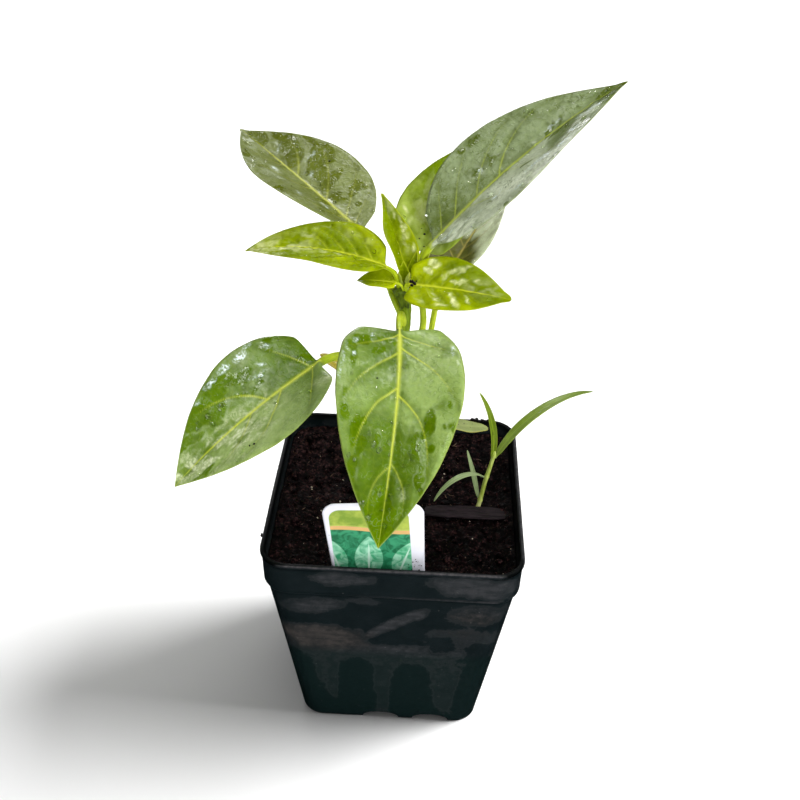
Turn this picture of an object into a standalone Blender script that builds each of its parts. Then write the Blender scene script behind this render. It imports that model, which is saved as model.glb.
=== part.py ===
"""A young sweet pepper plant in a square nursery pot, with its label and a grass seedling beside it.

The origin is the middle of the pot's underside. +Z is up, +X is the viewer's right and +Y points
away from the viewer. Lengths in this file are millimetres, and MM turns them into metres where a
mesh is made. Angles are degrees: a heading of 0 points along +X and 90 along +Y, and a rise is the
angle above the horizontal.
"""

import math
from typing import NamedTuple

import bmesh
import bpy
from mathutils import Vector

MM = 0.001
GAP = 0.3  # clearance left between neighbouring pieces

POT_HEIGHT = 88.0
RIM_HALF = 45.0
FOOT_HALF = 33.4
SHOULDER_HALF = 43.0  # half width of the body just under the rim band
BAND_DEPTH = 13.5
LIP_HEIGHT = 1.2
WALL = 1.2
FOOT_CORNER = 8.0
RIM_CORNER = 10.0
CORNER_STEPS = 5
DRAIN_SLOT_WIDTH = 14.0
DRAIN_SLOT_HEIGHT = 3.9
DRAIN_SLOT_DEPTH = 6.0
DRAIN_SLOT_OFFSETS = (-2.7, 16.2)

SOIL_LEVEL = 79.2
SOIL_BUMP = 0.7
STEM_HOLE_DEPTH = 3.0

LABEL_WIDTH = 33.0
LABEL_SHOULDER = 5.0
LABEL_THICKNESS = 0.6
LABEL_TOP = 113.5
LABEL_TIP = 34.0
LABEL_PLACE = (-4.0, -38.7)
LABEL_LEAN = 4.5  # to the viewer's left
LABEL_PITCH = 3.6  # forward, along the sloping wall

STEM_FOOT_RADIUS = 2.1
STEM_RADIUS = 1.7
STEM_TOP = Vector((1.2, 0.6, 170.5))
STEM_BEND = Vector((0.4, 0.0, 130.0))

BLADE_STATIONS = 12
STALK_STATIONS = 6
BLADE_LANES = 7  # points across a blade, from edge to edge
BLADE_HALF_THICKNESS = 0.3
BLADE_END = 0.985  # the last section, just short of the tip
BLADE_END_HALF = 0.12
BASE_SPREAD = 0.1  # fraction of the length over which the round base flattens out
RIB_DEPTH = 0.6  # the midrib under the blade, as a share of the stalk's radius


class Stalk(NamedTuple):
    """The stalk of a leaf. It leaves the stem at node and ends at the base of the blade."""

    node: float  # height of the stalk's foot
    heading: float
    rise: float
    radius: float


class Blade(NamedTuple):
    """The blade of a leaf or of a grass. It starts at base, where its midrib has this heading and rise."""

    base: tuple
    length: float
    width: float
    heading: float
    rise: float
    turn: float  # change of heading from base to tip
    droop: float  # change of rise from base to tip
    roll: float = 0.0  # the left half, seen from the base, rises with a positive roll
    twist: float = 0.0  # change of roll from base to tip
    fold: float = 10.0  # how far each half rises from the midrib
    curl: float = 0.0  # how much more it rises at the edge
    widest: float = 0.37  # fraction of the length where the blade is widest
    taper: float = 1.0  # above 1 draws the tip out
    lobes: float = 0.0  # how far the shoulders reach back past the base, as a fraction of the length


LEAVES = {
    "leaf_upper_left": (
        Stalk(node=158, heading=148, rise=49, radius=1.1),
        Blade(
            base=(-14.5, 18, 179.5), length=71.6, width=41, heading=136, rise=16, turn=-4, droop=-6,
            roll=6, twist=-13, fold=17, curl=5, widest=0.39, taper=1.12,
        ),
    ),
    "leaf_upper_right": (
        Stalk(node=150, heading=19, rise=46, radius=1.1),
        Blade(
            base=(8.4, 6.2, 181.6), length=81, width=42.5, heading=23, rise=46.5, turn=4, droop=-24,
            roll=6, twist=-10, fold=15, curl=2, widest=0.39, taper=1.16,
        ),
    ),
    "leaf_lower_left": (
        Stalk(node=135, heading=200, rise=24, radius=1.2),
        Blade(
            base=(-26, -8.5, 145.2), length=63, width=40.5, heading=216, rise=-19, turn=-10, droop=-26,
            roll=-11, twist=-20, fold=17, curl=6, widest=0.33, taper=1.1,
        ),
    ),
    "leaf_front": (
        Stalk(node=156, heading=-105, rise=68, radius=1.2),
        Blade(
            base=(-0.2, -20.8, 164.3), length=67.5, width=40, heading=-85, rise=-14.5, turn=-18,
            droop=-49, roll=-3.5, twist=-10, fold=17, curl=6, widest=0.33, taper=1.05, lobes=0.09,
        ),
    ),
    "leaf_middle_left": (
        Stalk(node=167.5, heading=164, rise=58, radius=0.8),
        Blade(
            base=(-5.1, -3, 177.9), length=48.5, width=26, heading=164, rise=13.5, turn=8, droop=-30,
            roll=-9, twist=2, fold=15, curl=2, widest=0.36, taper=1.02,
        ),
    ),
    "leaf_small_left": (
        Stalk(node=166.5, heading=238, rise=50, radius=0.45),
        Blade(
            base=(-3.2, -3.2, 173.4), length=12, width=9.8, heading=174, rise=-3, turn=0, droop=-14,
            roll=-5, fold=14,
        ),
    ),
    "leaf_upright": (
        Stalk(node=169, heading=110, rise=60, radius=0.6),
        Blade(
            base=(1.0, 3.4, 172.4), length=27.5, width=11.3, heading=132, rise=62, turn=-10, droop=-14,
            roll=-6, twist=-6, fold=39, curl=-2,
        ),
    ),
    "leaf_pale_back": (
        Stalk(node=161, heading=80, rise=52, radius=0.9),
        Blade(
            base=(5.8, 13, 176.2), length=45.4, width=27.3, heading=68, rise=41, turn=0.6, droop=-14,
            roll=-2.6, twist=-8, fold=13, curl=-2, widest=0.36, taper=1.11,
        ),
    ),
    "leaf_olive_back": (
        Stalk(node=130, heading=40, rise=42, radius=1.1),
        Blade(
            base=(15.3, 22.3, 163.8), length=44, width=25.5, heading=63, rise=25, turn=-2, droop=-3,
            roll=-8, twist=-8, fold=17, curl=7,
        ),
    ),
    "leaf_front_right": (
        Stalk(node=167, heading=-60, rise=50, radius=0.8),
        Blade(
            base=(2.4, -4.2, 172.8), length=32.5, width=21.5, heading=-13.5, rise=5, turn=4,
            droop=-11.5, roll=27.5, twist=1, fold=15, curl=1, widest=0.34,
        ),
    ),
    "cotyledon_left": (
        Stalk(node=114, heading=140, rise=35, radius=0.6),
        Blade(
            base=(-13.8, 12, 123.6), length=21, width=7, heading=140, rise=20.5, turn=7, droop=-15,
            fold=9, curl=2, widest=0.45, taper=0.6,
        ),
    ),
    "cotyledon_right": (
        Stalk(node=112, heading=40, rise=0, radius=0.6),
        Blade(
            base=(16.5, 13, 107.3), length=18.5, width=8, heading=22, rise=-15.5, turn=0, droop=-3,
            roll=3, fold=6, curl=-4, widest=0.44, taper=0.6,
        ),
    ),
}

# The grass blades have no stalk: each starts at the culm.
GRASS_FOOT = Vector((30.3, 1.2, SOIL_LEVEL))
GRASS_NODE = Vector((34.4, 1.8, 102.9))
GRASS_RADIUS = 0.8
GRASS_ROOT_END = GRASS_FOOT + Vector((-2.0, 0.0, -8.0))
GRASS_WIDEST = 0.38
GRASS_TAPER = 0.58
GRASS_BASE_RADIUS = 0.35
GRASS_BLADES = {
    "grass_blade_right": Blade(
        base=(35.4, 2.3, 103.6), length=44.5, width=3.5, heading=33, rise=50, turn=-5, droop=-55,
        fold=20, widest=GRASS_WIDEST, taper=GRASS_TAPER,
    ),
    "grass_blade_up": Blade(
        base=(34.1, 2.4, 103.8), length=23.7, width=3.0, heading=128, rise=83, turn=16, droop=-15,
        fold=20, widest=GRASS_WIDEST, taper=GRASS_TAPER,
    ),
    "grass_blade_drooping": Blade(
        base=(31.3, 0.8, 93.6), length=25, width=2.4, heading=212, rise=45, turn=5, droop=-104,
        fold=10, widest=GRASS_WIDEST, taper=GRASS_TAPER,
    ),
    "grass_blade_pale": Blade(
        base=(30.1, 2.6, 82.4), length=19.5, width=2.2, heading=138, rise=72.5, turn=0, droop=-7,
        fold=10, widest=GRASS_WIDEST, taper=GRASS_TAPER,
    ),
}

BARK_LENGTH = 31.0
BARK_WIDTH = 7.0
BARK_THICKNESS = 1.0
BARK_PLACE = (26.0, -4.6)

ROOT_DEPTH = 58.0
SIDE_ROOTS = 6
SIDE_ROOT_REACH = 25.0

COLOURS = {
    "pot": ((0.010, 0.018, 0.017), 0.5),
    "soil": ((0.012, 0.006, 0.007), 0.95),
    "label": ((0.80, 0.80, 0.90), 0.35),
    "bark": ((0.016, 0.009, 0.009), 0.9),
    "leaf": ((0.13, 0.27, 0.01), 0.35),
    "young_leaf": ((0.32, 0.45, 0.01), 0.35),
    "cotyledon": ((0.50, 0.58, 0.22), 0.6),
    "stem": ((0.20, 0.30, 0.01), 0.45),
    "root": ((0.55, 0.45, 0.30), 0.8),
    "grass": ((0.16, 0.33, 0.04), 0.5),
}
YOUNG_LEAVES = ("leaf_middle_left", "leaf_small_left", "leaf_upright", "leaf_pale_back", "leaf_front_right")


def clear_scene():
    for obj in list(bpy.data.objects):
        bpy.data.objects.remove(obj)


def new_collection(name, hidden=False):
    collection = bpy.data.collections.new(name)
    bpy.context.scene.collection.children.link(collection)
    collection.hide_render = hidden
    return collection


def make_material(name):
    colour, roughness = COLOURS[name]
    material = bpy.data.materials.new(name)
    material.use_nodes = True
    shader = material.node_tree.nodes["Principled BSDF"]
    shader.inputs["Base Color"].default_value = (*colour, 1.0)
    shader.inputs["Roughness"].default_value = roughness
    return material


def finish_mesh(name, mesh, material, collection):
    """Wraps a mesh in an object with its material, shaded smooth."""
    mesh.materials.clear()
    if material:
        mesh.materials.append(material)
    mesh.shade_smooth()
    mesh.set_sharp_from_angle(angle=math.radians(40))
    obj = bpy.data.objects.new(name, mesh)
    collection.objects.link(obj)
    return obj


def loft(name, rings, material, collection):
    """One closed skin through rings of equally many points, with its two ends filled."""
    mesh = bpy.data.meshes.new(name)
    bm = bmesh.new()
    rows = [[bm.verts.new(Vector(point) * MM) for point in ring] for ring in rings]
    for near, far in zip(rows, rows[1:]):
        for i in range(len(near)):
            j = (i + 1) % len(near)
            bm.faces.new((near[i], near[j], far[j], far[i]))
    bm.faces.new(rows[0])
    bm.faces.new(rows[-1])
    bmesh.ops.recalc_face_normals(bm, faces=bm.faces[:])
    bm.to_mesh(mesh)
    bm.free()
    return finish_mesh(name, mesh, material, collection)


def baked_curve(name, curve, material, collection):
    """Turns a curve into a welded mesh object, so that it can be cut and joined."""
    source = bpy.data.objects.new(name + "_curve", curve)
    collection.objects.link(source)
    graph = bpy.context.evaluated_depsgraph_get()
    mesh = bpy.data.meshes.new_from_object(source.evaluated_get(graph))
    bpy.data.objects.remove(source)
    bm = bmesh.new()
    bm.from_mesh(mesh)
    bmesh.ops.remove_doubles(bm, verts=bm.verts[:], dist=1e-6)
    bmesh.ops.recalc_face_normals(bm, faces=bm.faces[:])
    bm.to_mesh(mesh)
    bm.free()
    return finish_mesh(name, mesh, material, collection)


def tube(name, points, radii, material, collection, resolution=2):
    """A round rod along points, with one radius per point and closed ends."""
    curve = bpy.data.curves.new(name, "CURVE")
    curve.dimensions = "3D"
    curve.bevel_depth = MM
    curve.bevel_resolution = resolution
    curve.use_fill_caps = True
    spline = curve.splines.new("POLY")
    spline.points.add(len(points) - 1)
    for knot, point, radius in zip(spline.points, points, radii):
        knot.co = (*(Vector(point) * MM), 1.0)
        knot.radius = radius
    return baked_curve(name, curve, material, collection)


def plate(name, outline, thickness, material, collection):
    """A flat sheet of the outline in the XY plane, centred on its own thickness."""
    curve = bpy.data.curves.new(name, "CURVE")
    curve.dimensions = "2D"
    curve.fill_mode = "BOTH"
    curve.extrude = thickness / 2 * MM
    spline = curve.splines.new("POLY")
    spline.points.add(len(outline) - 1)
    for knot, (x, y) in zip(spline.points, outline):
        knot.co = (x * MM, y * MM, 0.0, 1.0)
    spline.use_cyclic_u = True
    return baked_curve(name, curve, material, collection)


def as_cutter(obj):
    obj.hide_render = True
    obj.display_type = "WIRE"
    return obj


def boolean(obj, other, operation):
    modifier = obj.modifiers.new(operation.title(), "BOOLEAN")
    modifier.operation = operation
    modifier.object = as_cutter(other)


def direction(heading, rise):
    heading, rise = math.radians(heading), math.radians(rise)
    level = math.cos(rise)
    return Vector((level * math.cos(heading), level * math.sin(heading), math.sin(rise)))


def bezier(start, start_way, end, end_way, steps):
    """Points along a curve that leaves start along one way and arrives at end along another."""
    reach = 0.4 * (end - start).length
    corners = (start, start + start_way * reach, end - end_way * reach, end)
    points = []
    for i in range(steps + 1):
        t = i / steps
        weights = ((1 - t) ** 3, 3 * t * (1 - t) ** 2, 3 * t * t * (1 - t), t**3)
        points.append(sum((c * w for c, w in zip(corners, weights)), Vector()))
    return points


def rounded_square(half, corner, z):
    """A ring of points round a square with round corners, level at z."""
    ring = []
    for quarter in range(4):
        for step in range(CORNER_STEPS + 1):
            angle = math.radians(90 * (quarter + step / CORNER_STEPS))
            middle = math.radians(90 * quarter + 45)
            inset = (half - corner) * math.sqrt(2)
            ring.append(
                (
                    inset * math.cos(middle) + corner * math.cos(angle),
                    inset * math.sin(middle) + corner * math.sin(angle),
                    z,
                )
            )
    return ring


def body_half(z):
    """Half width of the tapered body at a height, outside."""
    return FOOT_HALF + (SHOULDER_HALF - FOOT_HALF) * z / (POT_HEIGHT - BAND_DEPTH)


def drain_slots(name, clearance, collection):
    """Arched blocks for the slots at the foot of each wall."""
    slots = []
    half = DRAIN_SLOT_WIDTH / 2 + clearance
    height = DRAIN_SLOT_HEIGHT + clearance
    arch = [(half * math.cos(math.pi * k / 8), height * math.sin(math.pi * k / 8) ** 0.7) for k in range(9)]
    outline = [(half, -2.0), *arch, (-half, -2.0)]
    outer = FOOT_HALF + 3.0
    inner = FOOT_HALF - DRAIN_SLOT_DEPTH - clearance
    for side in range(4):
        for number, offset in enumerate(DRAIN_SLOT_OFFSETS):
            rings = [[(offset + x, y, z) for x, z in outline] for y in (-outer, -inner)]
            slot = loft(f"{name}_{side}_{number}", rings, None, collection)
            slot.rotation_euler = (0.0, 0.0, math.radians(90 * side))
            slots.append(slot)
    return slots


def make_pot(material, collection, cutters):
    """The moulded pot: one skin up the outside, over the lip and down the inside."""
    shoulder = POT_HEIGHT - BAND_DEPTH
    rings = [
        rounded_square(FOOT_HALF - 1.0, FOOT_CORNER - 1.0, 0.0),
        rounded_square(FOOT_HALF + 0.05, FOOT_CORNER, 1.0),
        rounded_square(SHOULDER_HALF, FOOT_CORNER, shoulder),
        rounded_square(RIM_HALF - 0.9, RIM_CORNER - 0.5, shoulder + 0.5),
        rounded_square(RIM_HALF - 0.4, RIM_CORNER, POT_HEIGHT - LIP_HEIGHT - 0.4),
        rounded_square(RIM_HALF, RIM_CORNER, POT_HEIGHT - LIP_HEIGHT),
        rounded_square(RIM_HALF, RIM_CORNER, POT_HEIGHT - 0.3),
        rounded_square(RIM_HALF - 0.3, RIM_CORNER, POT_HEIGHT),
        rounded_square(RIM_HALF - WALL - 0.3, RIM_CORNER - WALL, POT_HEIGHT),
        rounded_square(RIM_HALF - WALL - 0.6, RIM_CORNER - WALL, POT_HEIGHT - 0.6),
        rounded_square(RIM_HALF - WALL - 0.9, RIM_CORNER - WALL, shoulder + 2.0),
        rounded_square(SHOULDER_HALF - WALL, FOOT_CORNER - WALL, shoulder),
        rounded_square(body_half(WALL) - WALL, FOOT_CORNER - WALL, WALL),
    ]
    pot = loft("nursery_pot", rings, material, collection)
    for slot in drain_slots("pot_slot", 0.0, cutters):
        boolean(pot, slot, "DIFFERENCE")
    return pot


def soil_height(x, y):
    """Height of the soil's uneven top at a place."""
    return SOIL_LEVEL + SOIL_BUMP * (
        0.5 * math.sin(x / 7.0 + 0.6) * math.cos(y / 9.0) + 0.5 * math.sin(y / 6.0 - x / 11.0)
    )


def make_soil(material, collection, cutters, root_cutters, label_cutter):
    """The soil fills the pot to a little under the rim, and is open round whatever stands in it."""
    shoulder = POT_HEIGHT - BAND_DEPTH
    edge = RIM_HALF - WALL - 0.9 - GAP
    corner = RIM_CORNER - WALL - GAP
    rings = [
        rounded_square(body_half(WALL) - WALL - GAP, FOOT_CORNER - WALL - GAP, WALL + GAP),
        rounded_square(SHOULDER_HALF - WALL - GAP, FOOT_CORNER - WALL - GAP, shoulder),
        rounded_square(edge, corner, shoulder + 2.0 + GAP),
    ]
    for share in (1.0, 0.86, 0.68, 0.5, 0.32, 0.14):
        ring = rounded_square(edge * share, corner * share, 0.0)
        rings.append([(x, y, soil_height(x, y)) for x, y, _ in ring])
    soil = loft("potting_soil", rings, material, collection)
    root_end = GRASS_ROOT_END + Vector((0, 0, -2 * GAP))
    hole_top = GRASS_FOOT + Vector((0.2, 0, 6))
    hole_radii = [GRASS_RADIUS + GAP] * 3
    grass_hole = tube("grass_hole", [root_end, GRASS_FOOT, hole_top], hole_radii, None, cutters)
    for cutter in [*drain_slots("soil_slot", GAP, cutters), *root_cutters, label_cutter, grass_hole]:
        boolean(soil, cutter, "DIFFERENCE")
    return soil


def stem_point(z):
    """The stem's middle at a height: a gentle bend through three points."""
    foot = Vector((0.0, 0.0, SOIL_LEVEL))
    t = (z - foot.z) / (STEM_TOP.z - foot.z)
    lean = foot.lerp(STEM_TOP, t)
    bend_at = (STEM_BEND.z - foot.z) / (STEM_TOP.z - foot.z)
    sway = (STEM_BEND - foot.lerp(STEM_TOP, bend_at)) * (4 * t * (1 - t))
    return Vector((lean.x + sway.x, lean.y + sway.y, z))


def stem_radius(z):
    low, high = SOIL_LEVEL + 12.0, STEM_TOP.z - 4.0
    if z < low:
        return STEM_FOOT_RADIUS + (STEM_RADIUS - STEM_FOOT_RADIUS) * max(z - SOIL_LEVEL, 0.0) / 12.0
    if z > high:
        return STEM_RADIUS * (1.0 - 0.35 * (z - high) / 4.0)
    return STEM_RADIUS


def make_stem(material, collection):
    foot = SOIL_LEVEL - STEM_HOLE_DEPTH
    heights = [foot, SOIL_LEVEL, 85, 92, 103, 114, 125, 136, 147, 158, 166.5, STEM_TOP.z]
    points = [stem_point(z) for z in heights]
    return tube("main_stem", points, [stem_radius(z) for z in heights], material, collection, resolution=3)


def make_growing_tip(material, collection):
    """The bud that ends the stem, cupped between the youngest leaves."""
    start = STEM_TOP + Vector((0, 0, GAP))
    heights = (0.0, 0.8, 1.6, 2.3)
    radii = (0.8, 0.95, 0.6, 0.2)
    points = [start + Vector((0, 0, h)) for h in heights]
    return tube("growing_tip", points, radii, material, collection)


def root_paths():
    """The taproot's route and those of the side roots, each a list of points with its radii."""
    top = SOIL_LEVEL - STEM_HOLE_DEPTH - GAP
    taproot = [
        (0.15 * k * math.sin(k * 0.9), 0.1 * k * math.sin(k * 0.7), top - ROOT_DEPTH * k / 8)
        for k in range(9)
    ]
    paths = [(taproot, [STEM_FOOT_RADIUS * (1 - k / 10) for k in range(9)])]
    for number in range(SIDE_ROOTS):
        level = top - 5 - 6 * number
        route = []
        for k in range(6):
            out = SIDE_ROOT_REACH * k / 5
            way = direction(35 + 137 * number + 14 * math.sin(k * 1.1), 0) * out
            route.append((way.x, way.y, level - 0.5 * out - 1.2 * math.sin(k)))
        paths.append((route, [1.0 * (1 - k / 7) for k in range(6)]))
    return paths


def make_roots(material, collection, cutters):
    """The root system as one body, and the fatter copies that cut its room in the soil."""
    paths = root_paths()
    roots = tube("root_system", *paths[0], material, collection)
    for number, (route, radii) in enumerate(paths[1:]):
        boolean(roots, tube(f"side_root_{number}", route, radii, None, cutters), "UNION")
    room = []
    for number, (route, radii) in enumerate(paths):
        knots = [Vector(knot) for knot in route]
        before = knots[0] + (knots[0] - knots[1]).normalized() * GAP * 2
        beyond = knots[-1] + (knots[-1] - knots[-2]).normalized() * GAP * 2
        wide = [radius + GAP for radius in (radii[0], *radii, radii[-1])]
        room.append(tube(f"root_room_{number}", [before, *knots, beyond], wide, None, cutters))
    neck_top = Vector((0, 0, SOIL_LEVEL + 5))
    neck_foot = Vector((0, 0, SOIL_LEVEL - STEM_HOLE_DEPTH - 1))
    neck = tube("stem_hole", [neck_foot, neck_top], [STEM_FOOT_RADIUS + GAP] * 2, None, cutters, resolution=3)
    return roots, [*room, neck]


def label_outline(margin):
    """The tag's outline round its own middle, in its plane: wide above, narrowing to a blunt tip."""
    half = LABEL_WIDTH / 2
    top, tip = LABEL_TOP - SOIL_LEVEL + margin, LABEL_TIP - SOIL_LEVEL - margin
    radius = LABEL_SHOULDER
    right = [
        (half - radius + radius * math.sin(a), top - radius + radius * math.cos(a))
        for a in (math.radians(15 * k) for k in range(7))
    ]
    right += [(half - 1.0, 0.0), (half - 2.0, -12.0), (half * 0.35, -32.0), (half * 0.2, tip + 3.0)]
    right.append((half * 0.08, tip))
    right = [(x + margin, y) for x, y in right]
    return right + [(-x, y) for x, y in reversed(right)]


def make_label(name, margin, thickness, material, collection):
    """The tag stands upright behind the front wall, leaning a little in its own plane."""
    label = plate(name, label_outline(margin), thickness, material, collection)
    label.location = Vector((*LABEL_PLACE, SOIL_LEVEL)) * MM
    label.rotation_euler = (math.radians(90 + LABEL_PITCH), math.radians(-LABEL_LEAN), 0.0)
    return label


def half_width(blade, u):
    """Half width at a fraction of the length: an egg shape that starts and ends at a point."""
    swell = blade.taper * blade.widest / (1 - blade.widest)
    return blade.width / 2 * (u / blade.widest) ** swell * ((1 - u) / (1 - blade.widest)) ** blade.taper


def blade_frame(heading, rise, roll):
    """The blade's forward way, its left side and its upper side."""
    forward = direction(heading, rise)
    level = direction(heading + 90, 0)
    over = forward.cross(level)
    roll = math.radians(roll)
    left = level * math.cos(roll) + over * math.sin(roll)
    return forward, left, forward.cross(left)


def blade_section(centre, left, up, half, thickness, rib, fold, curl):
    """A ring round one section: a thin lens bent up on both sides of its midrib."""
    upper, lower = [], []
    for lane in range(BLADE_LANES):
        v = 2 * lane / (BLADE_LANES - 1) - 1
        bend = math.radians(fold + curl * abs(v) / 2)
        spot = centre + left * (v * half * math.cos(bend)) + up * (abs(v) * half * math.sin(bend))
        depth = thickness * math.sqrt(1 - v * v)
        upper.append(spot + up * depth)
        lower.append(spot - up * (depth + (rib if abs(v) < 1e-6 else 0.0)))
    return upper + lower[-2:0:-1]


def blade_rings(blade, base_radius):
    """Sections from the base to the tip of a blade whose base is as thick as its stalk."""
    rings = []
    place = Vector(blade.base)
    last = 0.0
    for u in [(k / BLADE_STATIONS) ** 1.4 for k in range(BLADE_STATIONS)] + [BLADE_END]:
        middle = (u + last) / 2
        step = direction(blade.heading + blade.turn * middle, blade.rise + blade.droop * middle)
        place = place + step * blade.length * (u - last)
        last = u
        roll = blade.roll + blade.twist * u
        forward, left, up = blade_frame(blade.heading + blade.turn * u, blade.rise + blade.droop * u, roll)
        half = max(half_width(blade, u), base_radius * (1 - u), BLADE_END_HALF)
        spread = min(u / BASE_SPREAD, 1.0)
        thickness = base_radius + (min(BLADE_HALF_THICKNESS, base_radius) - base_radius) * spread
        rib = RIB_DEPTH * base_radius * spread * (1 - u)
        ring = blade_section(
            place, left, up, half, min(thickness, 0.8 * half), rib, blade.fold * spread, blade.curl * spread
        )
        back = blade.lobes * blade.length * (1 - u) ** 4 * spread
        rings.append([p - forward * (back * min((p - place).length / half, 1.0) ** 1.5) for p in ring])
    return rings


def stalk_rings(stalk, blade):
    """Sections from the stem to the blade's base, round and as thick as the stalk."""
    outward = direction(stalk.heading, 0)
    clear = stem_radius(stalk.node) + GAP + stalk.radius * math.sin(math.radians(stalk.rise))
    foot = stem_point(stalk.node) + outward * clear
    forward, left, _ = blade_frame(blade.heading, blade.rise, blade.roll)
    route = bezier(foot, direction(stalk.heading, stalk.rise), Vector(blade.base), forward, STALK_STATIONS)
    rings = []
    for k, centre in enumerate(route[:-1]):
        along = (route[k + 1] - route[max(k - 1, 0)]).normalized()
        side = (left - along * along.dot(left)).normalized()
        radius = stalk.radius
        rings.append(blade_section(centre, side, along.cross(side), radius, radius, 0.0, 0.0, 0.0))
    return rings


def make_leaf(name, stalk, blade, material, collection):
    return loft(name, stalk_rings(stalk, blade) + blade_rings(blade, stalk.radius), material, collection)


def make_grass_culm(material, collection):
    """The seedling's stem, with a short root below the soil's surface."""
    points = [
        GRASS_ROOT_END,
        GRASS_FOOT + Vector((-0.9, 0, -4)),
        GRASS_FOOT,
        GRASS_FOOT.lerp(GRASS_NODE, 0.5) + Vector((-0.3, 0, 0)),
        GRASS_NODE,
    ]
    radii = [0.25, 0.5, GRASS_RADIUS, GRASS_RADIUS * 0.9, GRASS_RADIUS * 0.8]
    return tube("grass_culm", points, radii, material, collection)


def make_bark(material, collection):
    """A flat strip of bark that lies on the soil."""
    half, side = BARK_LENGTH / 2, BARK_WIDTH / 2
    outline = [
        (-half, -side * 0.9), (-half * 0.3, -side), (half * 0.5, -side * 0.95), (half * 0.92, -side * 0.7),
        (half, side * 0.1), (half * 0.8, side * 0.75), (half * 0.1, side), (-half * 0.6, side * 0.9),
        (-half * 1.02, side * 0.6),
    ]
    bark = plate("bark_strip", outline, BARK_THICKNESS, material, collection)
    lift = SOIL_BUMP + GAP + BARK_THICKNESS / 2
    bark.location = Vector((*BARK_PLACE, SOIL_LEVEL + lift)) * MM
    return bark


def main():
    clear_scene()
    parts = new_collection("potted_sweet_pepper_plant")
    cutters = new_collection("cutters", hidden=True)
    materials = {name: make_material(name) for name in COLOURS}

    make_pot(materials["pot"], parts, cutters)
    _, root_cutters = make_roots(materials["root"], parts, cutters)
    label_cutter = make_label("label_slot", GAP, LABEL_THICKNESS + 2 * GAP, None, cutters)
    make_soil(materials["soil"], parts, cutters, root_cutters, label_cutter)
    make_label("plant_label", 0.0, LABEL_THICKNESS, materials["label"], parts)
    make_bark(materials["bark"], parts)
    make_stem(materials["stem"], parts)
    make_growing_tip(materials["young_leaf"], parts)
    for name, (stalk, blade) in LEAVES.items():
        kind = "young_leaf" if name in YOUNG_LEAVES else "leaf"
        make_leaf(name, stalk, blade, materials["cotyledon" if "cotyledon" in name else kind], parts)
    make_grass_culm(materials["grass"], parts)
    for name, blade in GRASS_BLADES.items():
        loft(name, blade_rings(blade, GRASS_BASE_RADIUS), materials["grass"], parts)


main()
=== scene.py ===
"""The looks of a young sweet pepper plant in a square nursery pot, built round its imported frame.

Lengths here are millimetres and MM turns them into metres where a mesh is made. Angles are degrees:
a heading of 0 points along +X and 90 along +Y, and a rise is the angle above the horizontal. The
leaf and grass tables follow the frame's own, and each leaf here is a finer skin in the same place.
A seed is the number that a pattern of noise starts from, so that no two leaves look alike.
"""

import math
import random
from typing import NamedTuple

import bmesh
import bpy
import numpy as np
from mathutils import Matrix, Vector


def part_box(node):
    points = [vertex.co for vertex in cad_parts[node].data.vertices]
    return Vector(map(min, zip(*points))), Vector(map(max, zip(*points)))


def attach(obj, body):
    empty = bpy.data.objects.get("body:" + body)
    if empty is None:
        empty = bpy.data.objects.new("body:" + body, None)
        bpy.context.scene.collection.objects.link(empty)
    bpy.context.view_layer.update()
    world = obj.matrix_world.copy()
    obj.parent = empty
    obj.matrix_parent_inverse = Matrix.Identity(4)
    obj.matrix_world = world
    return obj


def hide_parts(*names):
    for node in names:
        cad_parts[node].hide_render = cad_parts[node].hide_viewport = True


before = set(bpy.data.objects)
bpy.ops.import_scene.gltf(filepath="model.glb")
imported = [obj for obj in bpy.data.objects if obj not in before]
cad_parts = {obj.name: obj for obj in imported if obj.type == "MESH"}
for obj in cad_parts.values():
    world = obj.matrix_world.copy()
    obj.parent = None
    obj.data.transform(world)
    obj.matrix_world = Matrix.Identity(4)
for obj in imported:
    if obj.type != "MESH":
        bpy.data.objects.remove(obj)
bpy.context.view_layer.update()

MM = 0.001

POT_HEIGHT = 88.0
RIM_HALF = 45.0
FOOT_HALF = 33.4
SHOULDER_HALF = 43.0
BAND_DEPTH = 13.5
WALL = 1.2
FOOT_CORNER = 8.0
RIM_CORNER = 10.0
DRAIN_SLOT_WIDTH = 14.0
DRAIN_SLOT_HEIGHT = 3.9
DRAIN_SLOT_DEPTH = 6.0
DRAIN_SLOT_OFFSETS = (-2.7, 16.2)
SOIL_LEVEL = 79.2

LABEL_WIDTH = 33.0
LABEL_SHOULDER = 5.0
LABEL_THICKNESS = 0.6
LABEL_TOP = 113.5
LABEL_TIP = 34.0
LABEL_PLACE = (-4.0, -38.7)
LABEL_LEAN = 4.5
LABEL_PITCH = 3.6
PRINT_MARGINS = (2.0, 5.0, 2.6)  # white border left, right and above the print
PRINT_CORNER = 4.0
PRINT_FIELD = 12.5  # depth of the print's upper field

STEM_FOOT_RADIUS = 2.1
STEM_RADIUS = 1.7
STEM_TOP = Vector((1.2, 0.6, 170.5))
STEM_BEND = Vector((0.4, 0.0, 130.0))

STEM_FLARE = 12.0  # the foot thins to the stem over this height
STEM_TAPER = 4.0  # and the stem thins to its end over this
COLLAR_FOOT = 162.0  # where the darker collar of the crown begins
COLLAR = ((COLLAR_FOOT, 1.66), (165.0, 2.2), (168.6, 3.5), (169.5, 2.8), (169.8, 0.8))  # height, radius
BUD_HEIGHT = 2.6

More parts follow.
